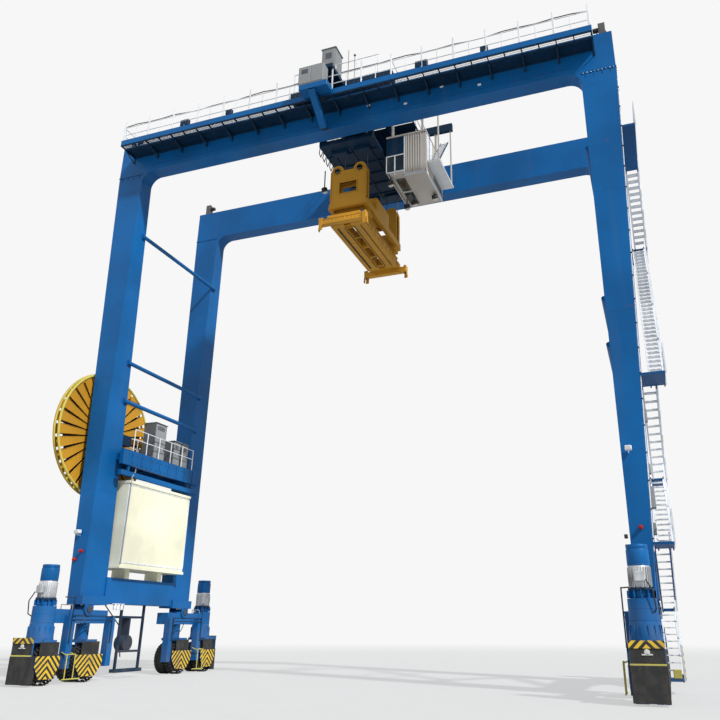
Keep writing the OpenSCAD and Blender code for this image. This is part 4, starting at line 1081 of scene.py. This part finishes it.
class CRANE_OT_cab(bpy.types.Operator):
    """Covers, glass, window bars, ribs, wiper, seat, stair and floodlights of the operator's cab"""
    bl_idname = "crane.cab"
    bl_label = "Operator's cab"

    def execute(self, context):
        low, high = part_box("operator_cab")
        mid, half = (low.y + high.y) / 2, (high.y - low.y) / 2
        long = high.x - low.x
        roof, pod = 2.4, 1.26
        walls = (-half, half)
        at(low.x, mid, low.z)
        ribs = [row(slab((1.02, y, 0.12), (1.07, y + 0.03, roof - 0.06), 0.006), 7, (0.13, 0, 0))
                for y in (-half - 0.03, half)]
        ribs.append(slab((-0.03, -half - 0.04, roof - 0.05), (long + 0.03, half + 0.04, roof + 0.06),
                         0.02))
        cover = [slab((-0.012, y - 0.009, pod), (0.94, y + 0.009, roof - 0.05), 0.004) for y in walls]
        cover.append(slab((-0.014, -half, pod), (0.004, half, roof - 0.05), 0.004))
        lower = [slab((0.03, y - 0.007, 0.32), (0.93, y + 0.007, pod), 0.003) for y in walls]
        lower.append(slab((-0.008, 0.02 - half, 0.36), (0.006, half - 0.02, pod), 0.003))
        bars = [slab((-0.02, y - 0.03, 0.34), (0.02, y + 0.03, pod + 0.03), 0.006)
                for y in (0.02 - half, -0.45, 0.45, half - 0.02)]
        bars += [slab((-0.02, -half, z - 0.03), (0.02, half, z + 0.03), 0.006) for z in (0.36, pod)]
        for y in (-half - 0.016, half - 0.026):
            bars += [slab((x - 0.03, y, 0.1), (x + 0.03, y + 0.042, z), 0.006)
                     for x, z in ((0.45, pod), (0.96, roof - 0.06))]
            bars += [slab((0, y, z - 0.03), (0.95, y + 0.042, z + 0.03), 0.006) for z in (0.30, pod)]
        panes = [slab((0.42, y, -0.010), (0.90, y + 1.15, 0.004), 0.004) for y in (0.22 - half, 0.08)]
        plate = [slab((0.98, 0.04 - half, -0.010), (long - 0.04, half - 0.04, 0.004), 0.004)]
        edge = [slab((0.98, -half, -0.016), (long, 0.05 - half, 0.10), 0.006),
                slab((long - 0.05, -half, -0.016), (long + 0.004, half, 0.10), 0.006)]
        wiper = [rod((-0.03, 0.1, 0.42), (-0.035, -0.25, pod - 0.12), 0.01, 8),
                 rod((-0.03, -0.02, pod - 0.1), (-0.03, 0.16, 0.62), 0.009, 8)]
        seat = [slab((0.65, -0.26, 0.55), (1.15, 0.26, 0.68), 0.04),
                slab((1.08, -0.25, 0.62), (1.20, 0.25, 1.35), 0.04),
                rod((0.9, 0, 0.08), (0.9, 0, 0.56), 0.08, 20)]
        seat += [slab((0.5, y - 0.13, 0.08), (1.0, y + 0.13, 0.85), 0.03) for y in (-0.5, 0.5)]
        at(high.x, mid, low.z)
        glass = [slab((-0.004, -0.15, 0.25), (0.012, half - 0.15, 1.6), 0.004)]
        door = [slab((0.001, 0.15 - half, 0.7), (0.02, 1.0 - half, roof - 0.1), 0.008),
                slab((0.02, 0.85 - half, 1.5), (0.06, 0.88 - half, 1.7), 0.006)]
        near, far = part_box("cab_stair")
        at(near.x, near.y, low.z)
        out, deep = high.x - near.x, far.y - near.y
        door += [slab((0.004, 0, 0.585), (out + 0.655, deep, 0.602), 0.004),
                 slab((out + 0.645, 0, 0.59), (out + 0.662, deep, 0.67), 0.004)]
        treads = [slab((0.1, 0.2 + k * 0.17, 0.66 + k * 0.22), (0.5, 0.38 + k * 0.17, 0.69 + k * 0.22),
                       0.006) for k in range(12)]
        strings = [rod((x, 0.2, 0.6), (x, 2.25, 3.25), 0.035, 10) for x in (0.1, 0.5)]
        lights, lenses = [], []
        for x, y, z in ((-2.14, -1.0, 23.7), (1.95, 0.5, 22.75), (2.35, 0.5, 22.9), (3.5, 0.4, 22.95),
                        (1.75, -1.5, 22.95)):
            at(x, y, z)
            hung = (low.z + 0.05 if x > 0 else 25.0) - z
            lights += [rod((0, 0, 0), (-0.03, -0.05, 0.22), 0.16, 28, 0.03),
                       rod((-0.02, -0.03, 0.2), (-0.02, -0.03, hung), 0.03, 10)]
            lenses.append(rod((0.003, 0, -0.012), (0, 0, 0.01), 0.14, 28, 0.004))
        # The cab's ribs and floor plate take the cab grey with painted shade
        pieces("trolley", ("Cab_ribs", ribs, "cab_paint"), ("Cab_front_cover", cover, "dark_blue"),
               ("Cab_low_glass", lower, "glass"), ("Cab_window_bars", bars, "white_paint"),
               ("Cab_floor_glass", panes, "glass"), ("Cab_floor_plate", plate, "cab_paint"),
               ("Cab_floor_edge", edge, "white_paint"), ("Cab_wiper", wiper, "tyre"),
               ("Cab_seat", seat, "tyre"),
               ("Cab_side_glass", glass, "glass"), ("Cab_door", door, "white_paint"),
               ("Cab_stair_treads", treads, "white_paint"), ("Cab_stair_strings", strings, "dark_blue"),
               ("Cab_floodlights", lights, "tyre"), ("Cab_floodlight_lenses", lenses, "lens"))
        return {"FINISHED"}


class CRANE_OT_trolley(bpy.types.Operator):
    """Railings, deck, drum grooves, motors, covers and aerials of the trolley"""
    bl_idname = "crane.trolley"
    bl_label = "Trolley"

    def execute(self, context):
        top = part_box("trolley_wheels")[1].z + 0.14
        at(TROLLEY_X, 0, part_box("hoist_machinery")[0].z + 0.9)
        grooves = [row(torus((0, y, 0), 0.452, 0.018, 40, 6), 30, (0, 0.041, 0)) for y in (-1.45, 0.25)]
        gear = [slab((-0.62, y, -0.7), (0.62, y + 0.28, 0.62), 0.06) for y in (-1.95, 1.65)]
        gear += [rod((0.75, -0.9, -0.2), (0.75, 0.5, -0.2), 0.30, 32, 0.03),
                 rod((0.75, 0.5, -0.2), (0.75, 0.9, -0.2), 0.24, 28, 0.02)]
        at(TROLLEY_X, 0, SHEAVE_Z)
        sheaves = []
        for x in (-0.93, 0.93):
            for y in (-2.25, 2.25):
                sheaves += [torus((x, y, 0), 0.27, 0.035, 36, 8),
                            rod((x, y - 0.06, 0), (x, y + 0.06, 0), 0.09, 20, 0.01)]
        at(0, 0, top)
        rails = []
        for y in (-3.93, 3.93):
            rails.append(row(rod((-2.7, y, 0), (-2.7, y, 1.1), 0.024, 10), 5, (1.15, 0, 0)))
            rails += [rod((-2.75, y, z), (1.95, y, z), 0.021, 10) for z in RAIL_HEIGHTS]
        for x in (-2.7, 2.4):
            rails.append(row(rod((x, -3.3, -0.3), (x, -3.3, 1.1), 0.024, 10), 6, (0, 1.3, 0)))
            rails += [rod((x, -3.3, z), (x, 3.2, z), 0.021, 10) for z in RAIL_HEIGHTS]
        deck = [row(slab((-2.75, -3.25, -0.09), (2.45, -3.215, -0.06), 0), 60, (0, 0.11, 0))]
        deck += [slab((x, -3.3, -0.19), (x + 0.06, 3.3, -0.09), 0.006) for x in (-2.75, -0.9, 1.2, 2.4)]
        deck += [slab((-2.75, y, -0.062), (2.45, y + 3.05, -0.05), 0.002) for y in (-3.25, 0.2)]
        low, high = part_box("trolley_cabinets")
        side_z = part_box("walkway_railings")[0].z
        at(TROLLEY_X, low.y, side_z)
        arm = [slab((-1.262, -0.012, -0.008), (0.212, 0.60, 0.29), 0.01),
               bar((-0.60, 0.05, -0.05), (-0.60, -4.25 - low.y, 25.05 - side_z), 0.32, 0.24)]
        at(TROLLEY_X, 0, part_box("trolley_frame")[0].z + 0.16)
        loops = []
        for k in range(7):
            y = -2.9 + k * 0.42
            loops += pipe([(-1.42, y, 0.1), (-1.50, y + 0.06, -0.25), (-1.46, y + 0.18, -0.42),
                           (-1.50, y + 0.30, -0.25), (-1.42, y + 0.36, 0.1)], 0.022, 8)
        under = [slab((-1.30, y, -0.06), (1.30, y + 0.07, 0.004), 0.006)
                 for y in (-2.05, -1.05, -0.1, 0.85, 1.85)]
        under += [slab((x, -2.55, -0.05), (x + 0.06, 2.55, 0.004), 0.006) for x in (-1.0, -0.03, 0.94)]
        at(TROLLEY_X, low.y, low.z)
        seams = [slab((x, -0.02, 0.05), (x + 0.61, 0.002, 0.98), 0.01) for x in (-1.28, -0.63)]
        grilles = [row(slab((-1.15, -0.026, 0.62), (-0.8, -0.016, 0.64), 0.002), 6, (0, 0, 0.045))]
        at(TROLLEY_X, TALL_CABINET_Y, high.z)
        seams += [slab((-1.0, -0.02, -2.25), (-0.35, 0.002, -0.1), 0.01),
                  slab((-1.1, -0.05, -0.06), (-0.25, 0.871, 0.003), 0.015)]
        grilles += [row(slab((-0.85, -0.026, -0.7), (-0.5, -0.016, -0.68), 0.002), 8, (0, 0, 0.05)),
                    slab((-0.42, -0.05, -1.3), (-0.39, -0.018, -1.05), 0.006)]
        at(TROLLEY_X, -3.5, high.z)
        foot = top - 0.05 - high.z
        aerials = [rod((0.25, 0, foot), (0.25, 0, -0.04), 0.016, 8),
                   rod((0.6, 0, foot), (0.6, 0, -0.5), 0.016, 8),
                   rod((0.6, 0, -0.5), (0.6, 0, -0.42), 0.06, 16, 0.01)]
        at(0, 0, top)
        bolts = [row(rod((-2.6, y - 0.005, -0.25), (-2.6, y + 0.005, -0.25), 0.03, 6), 22, (0.23, 0, 0))
                 for y in (-3.936, -3.286, 3.286, 3.936)]
        pieces("trolley", ("Drum_rope", grooves, "steel"), ("Hoist_gear", gear, "dark_blue"),
               ("Trolley_sheaves", sheaves, "steel"), ("Trolley_railings", rails, "white_paint"))
        joined("Trolley_deck", deck, "trolley", "dark_blue", smooth=False)
        pieces("trolley", ("Cabinet_bracket", arm, "crane_blue"), ("Trolley_cable_loops", loops, "tyre"),
               ("Trolley_well_ribs", under, "dark_blue"), ("Trolley_cabinet_doors", seams, "grey_paint"),
               ("Trolley_cabinet_grilles", grilles, "dark_blue"), ("Trolley_aerials", aerials, "steel"),
               ("Trolley_bolts", bolts, "steel"))
        return {"FINISHED"}


class CRANE_OT_spreader(bpy.types.Operator):
    """Ropes, flanges, hoses, cylinders and lock housings of the headblock and spreader"""
    bl_idname = "crane.spreader"
    bl_label = "Headblock and spreader"

    def headblock(self, mid, low, high):
        """Edges, sheave caps, power pack and hoses."""
        tall = high.z - low.z
        hub = tall - 0.33
        edges, caps = [], []
        for s in (-1, 1):
            at(mid, s * END_PLATE_Y, low.z)
            for e in (-1, 1):
                edges.append(slab((e * 0.93 - 0.02, -0.09, 0.5), (e * 0.93 + 0.02, 0.09, tall - 0.34),
                                  0.008))
                edges.append(slab((e * 0.47 - 0.02, -0.075, 0.83), (e * 0.47 + 0.02, 0.075, 1.47), 0.008))
                for x in (-0.6, 0.6):
                    caps.append(rod((x, s * 0.035, hub), (x, s * 0.10, hub), 0.15, 28, 0.012))
                    nut = rod((x, s * 0.04, tall - 0.10), (x, s * 0.065, tall - 0.10), 0.018, 6)
                    caps.append(ring(nut, 8, (x, 0, hub), (0, 1, 0)))
            edges += [slab((-0.49, -0.075, z), (0.49, 0.075, z + 0.04), 0.008) for z in (1.45, 0.81)]
            edges.append(slab((-1.0, -0.11, 0.02), (1.0, 0.11, 0.07), 0.01))
            edges += [torus((x, 0, 0.28), 0.12, 0.025, 24, 8) for x in (-0.75, 0.75)]
            edges.append(row(slab((-0.95, s * 0.06 - 0.02, 0.01), (-0.85, s * 0.06 + 0.02, 0.05), 0.006),
                             10, (0.2, 0, 0)))
        at(mid, 0, low.z)
        pack = [slab((0.55, -1.15, 1.1), (1.0, 0.55, 1.16), 0.02),
                rod((-0.5, -1.4, 0.5), (-0.5, 0.2, 0.5), 0.14, 24, 0.02),
                slab((-0.75, 0.4, 0.35), (-0.25, 1.3, 0.95), 0.03)]
        hoses = []
        for x in (0, 0.1, 0.2, 0.3):
            hoses += pipe([(x - 0.4, -1.9, 0.4), (x - 0.45, -2.1, -0.1), (x - 0.5, -2.35, -0.35)], 0.02)
        pieces("lift", ("Headblock_flanges", edges, "spreader_yellow"),
               ("Headblock_sheave_caps", caps, "steel"),
               ("Headblock_power_pack", pack, "grey_paint"), ("Spreader_hoses", hoses, "tyre"))

    def frame(self, mid, low, high):
        """Ribs, pipes and cylinders of the spreader's fixed frame."""
        long = high.y - low.y
        at(mid, low.y, low.z)
        ribs = []
        for x in (-0.82, 0.82):
            ribs.append(row(slab((x - 0.02, 0.1, 0.01), (x + 0.02, 0.13, 0.49), 0.006), 10, (0, 0.53, 0)))
            ribs += [slab((x - 0.05, 0, z0), (x + 0.05, long, z1), 0.008)
                     for z0, z1 in ((0.47, 0.505), (-0.005, 0.025))]
        lines = [rod((x, 0.3, -0.02), (x, long - 0.3, -0.02), 0.016, 8)
                 for x in (-0.62, -0.57, -0.24, 0.26, 0.60)]
        at(mid, 0, low.z)
        ribs += [slab((-0.80, y - 0.03, -0.006), (0.80, y + 0.03, 0.05), 0.008)
                 for y in (-2.1, -1.05, 0, 1.05, 2.1)]
        ribs += [slab((x - 0.16, y, -0.012), (x + 0.16, y + 0.22, 0.02), 0.01)
                 for x in (-0.45, 0.45) for y in (-1.7, -0.6, 0.5, 1.6)]
        rams = [rod((0, -2.3, 0.56), (0, 0.4, 0.56), 0.07, 20, 0.01),
                rod((0, 0.4, 0.56), (0, 1.9, 0.56), 0.035, 16, 0.005)]
        pieces("lift", ("Spreader_lines", lines, "tyre"), ("Spreader_ribs", ribs, "spreader_yellow"),
               ("Spreader_rams", rams, "steel"))

    def ropes(self, mid, rope_low, rope_high):
        """The hoist ropes: straight rods between the ends of the frame's ropes, joined to one piece on no
        body.
        """
        at(mid)
        ropes = [rod((s * x, y, rope_low.z), (s * x, y, rope_high.z), ROPE_R, 12) for s in (-1, 1)
                 for x in ROPE_X for y in (rope_low.y + ROPE_R, rope_high.y - ROPE_R)]
        falls = joined("Hoist_falls", ropes, None, "steel", ("hoist_ropes",))
        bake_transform(falls)

    def beams(self, mid, low):
        """Guides, lock housings and locks on the telescopic beams."""
        y, z = low.y + 0.13, low.z + 0.11
        fittings, locks = [], []
        for e in (-1, 1):
            at(mid + e * 1.1295, y, z)
            fittings += [slab((-0.10, -0.14, -0.01), (0.10, 0.14, 0.30), 0.015),
                         slab((e * 0.03, -0.17, 0.26), (e * 0.09, 0.17, 0.36), 0.012),
                         slab((-0.09, -0.165, -0.30), (0.09, -0.14, 0.30), 0.008, (0.10, 0, 0)),
                         slab((e * 0.105 - 0.012, -0.09, -0.30), (e * 0.105 + 0.012, 0.09, 0.30), 0.008,
                              (0, -e * 0.10, 0)),
                         rod((0, 0, 0.28), (0, 0, 0.42), 0.07, 20, 0.01)]
            locks += [rod((0, 0, -0.11), (0, 0, -0.02), 0.034, 20, 0.008),
                      slab((-0.052, -0.028, -0.11), (0.052, 0.028, -0.075), 0.012)]
        at(mid, y, z)
        fittings.append(row(slab((-0.9, -0.145, 0.01), (-0.88, -0.12, 0.25), 0.004), 10, (0.2, 0, 0)))
        fittings += [slab((-1.1, -0.15, z0), (1.1, 0.15, z0 + 0.025), 0.006) for z0 in (-0.008, 0.24)]
        fittings += [torus((x, 0, 0.32), 0.07, 0.018, 20, 8) for x in (-0.8, 0.8)]
        spread(SIDES, ("{1}_beam_fittings", fittings, "{1}_spreader_beam", "spreader_yellow"),
               ("{1}_twistlocks", locks, "{1}_spreader_beam", "steel"))

    def execute(self, context):
        low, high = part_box("headblock")
        mid = (low.x + high.x) / 2
        self.headblock(mid, low, high)
        self.frame(mid, *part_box("spreader_frame"))
        self.ropes(mid, *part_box("hoist_ropes"))
        self.beams(mid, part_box("front_spreader_beam")[0])
        return {"FINISHED"}


STEPS = (CRANE_OT_stage, CRANE_OT_paint, CRANE_OT_wheels, CRANE_OT_walkways, CRANE_OT_joints,
         CRANE_OT_rails, CRANE_OT_stairs, CRANE_OT_reel, CRANE_OT_house, CRANE_OT_bogies, CRANE_OT_cab,
         CRANE_OT_trolley, CRANE_OT_spreader)


class CRANE_PT_panel(bpy.types.Panel):
    """Colours, sizes and steps of the crane's finish"""
    bl_idname = "CRANE_PT_panel"
    bl_label = "Yard Crane Finish"
    bl_space_type = "VIEW_3D"
    bl_region_type = "UI"
    bl_category = "Crane"

    def draw(self, context):
        for group in (colours(), sizes()):
            for name in group.__annotations__:
                self.layout.prop(group, name)
        for step in STEPS:
            self.layout.operator(step.bl_idname)


CLASSES = (CraneColours, CraneSizes, *STEPS, CRANE_PT_panel)


def register():
    for item in CLASSES:
        bpy.utils.register_class(item)
    bpy.types.Scene.crane_colours = PointerProperty(type=CraneColours)
    bpy.types.Scene.crane_sizes = PointerProperty(type=CraneSizes)


def unregister():
    del bpy.types.Scene.crane_sizes
    del bpy.types.Scene.crane_colours
    for item in reversed(CLASSES):
        bpy.utils.unregister_class(item)


def main():
    register()
    for step in STEPS:
        group, name = step.bl_idname.split(".")
        getattr(getattr(bpy.ops, group), name)()
    clear()


if __name__ == "__main__":
    main()
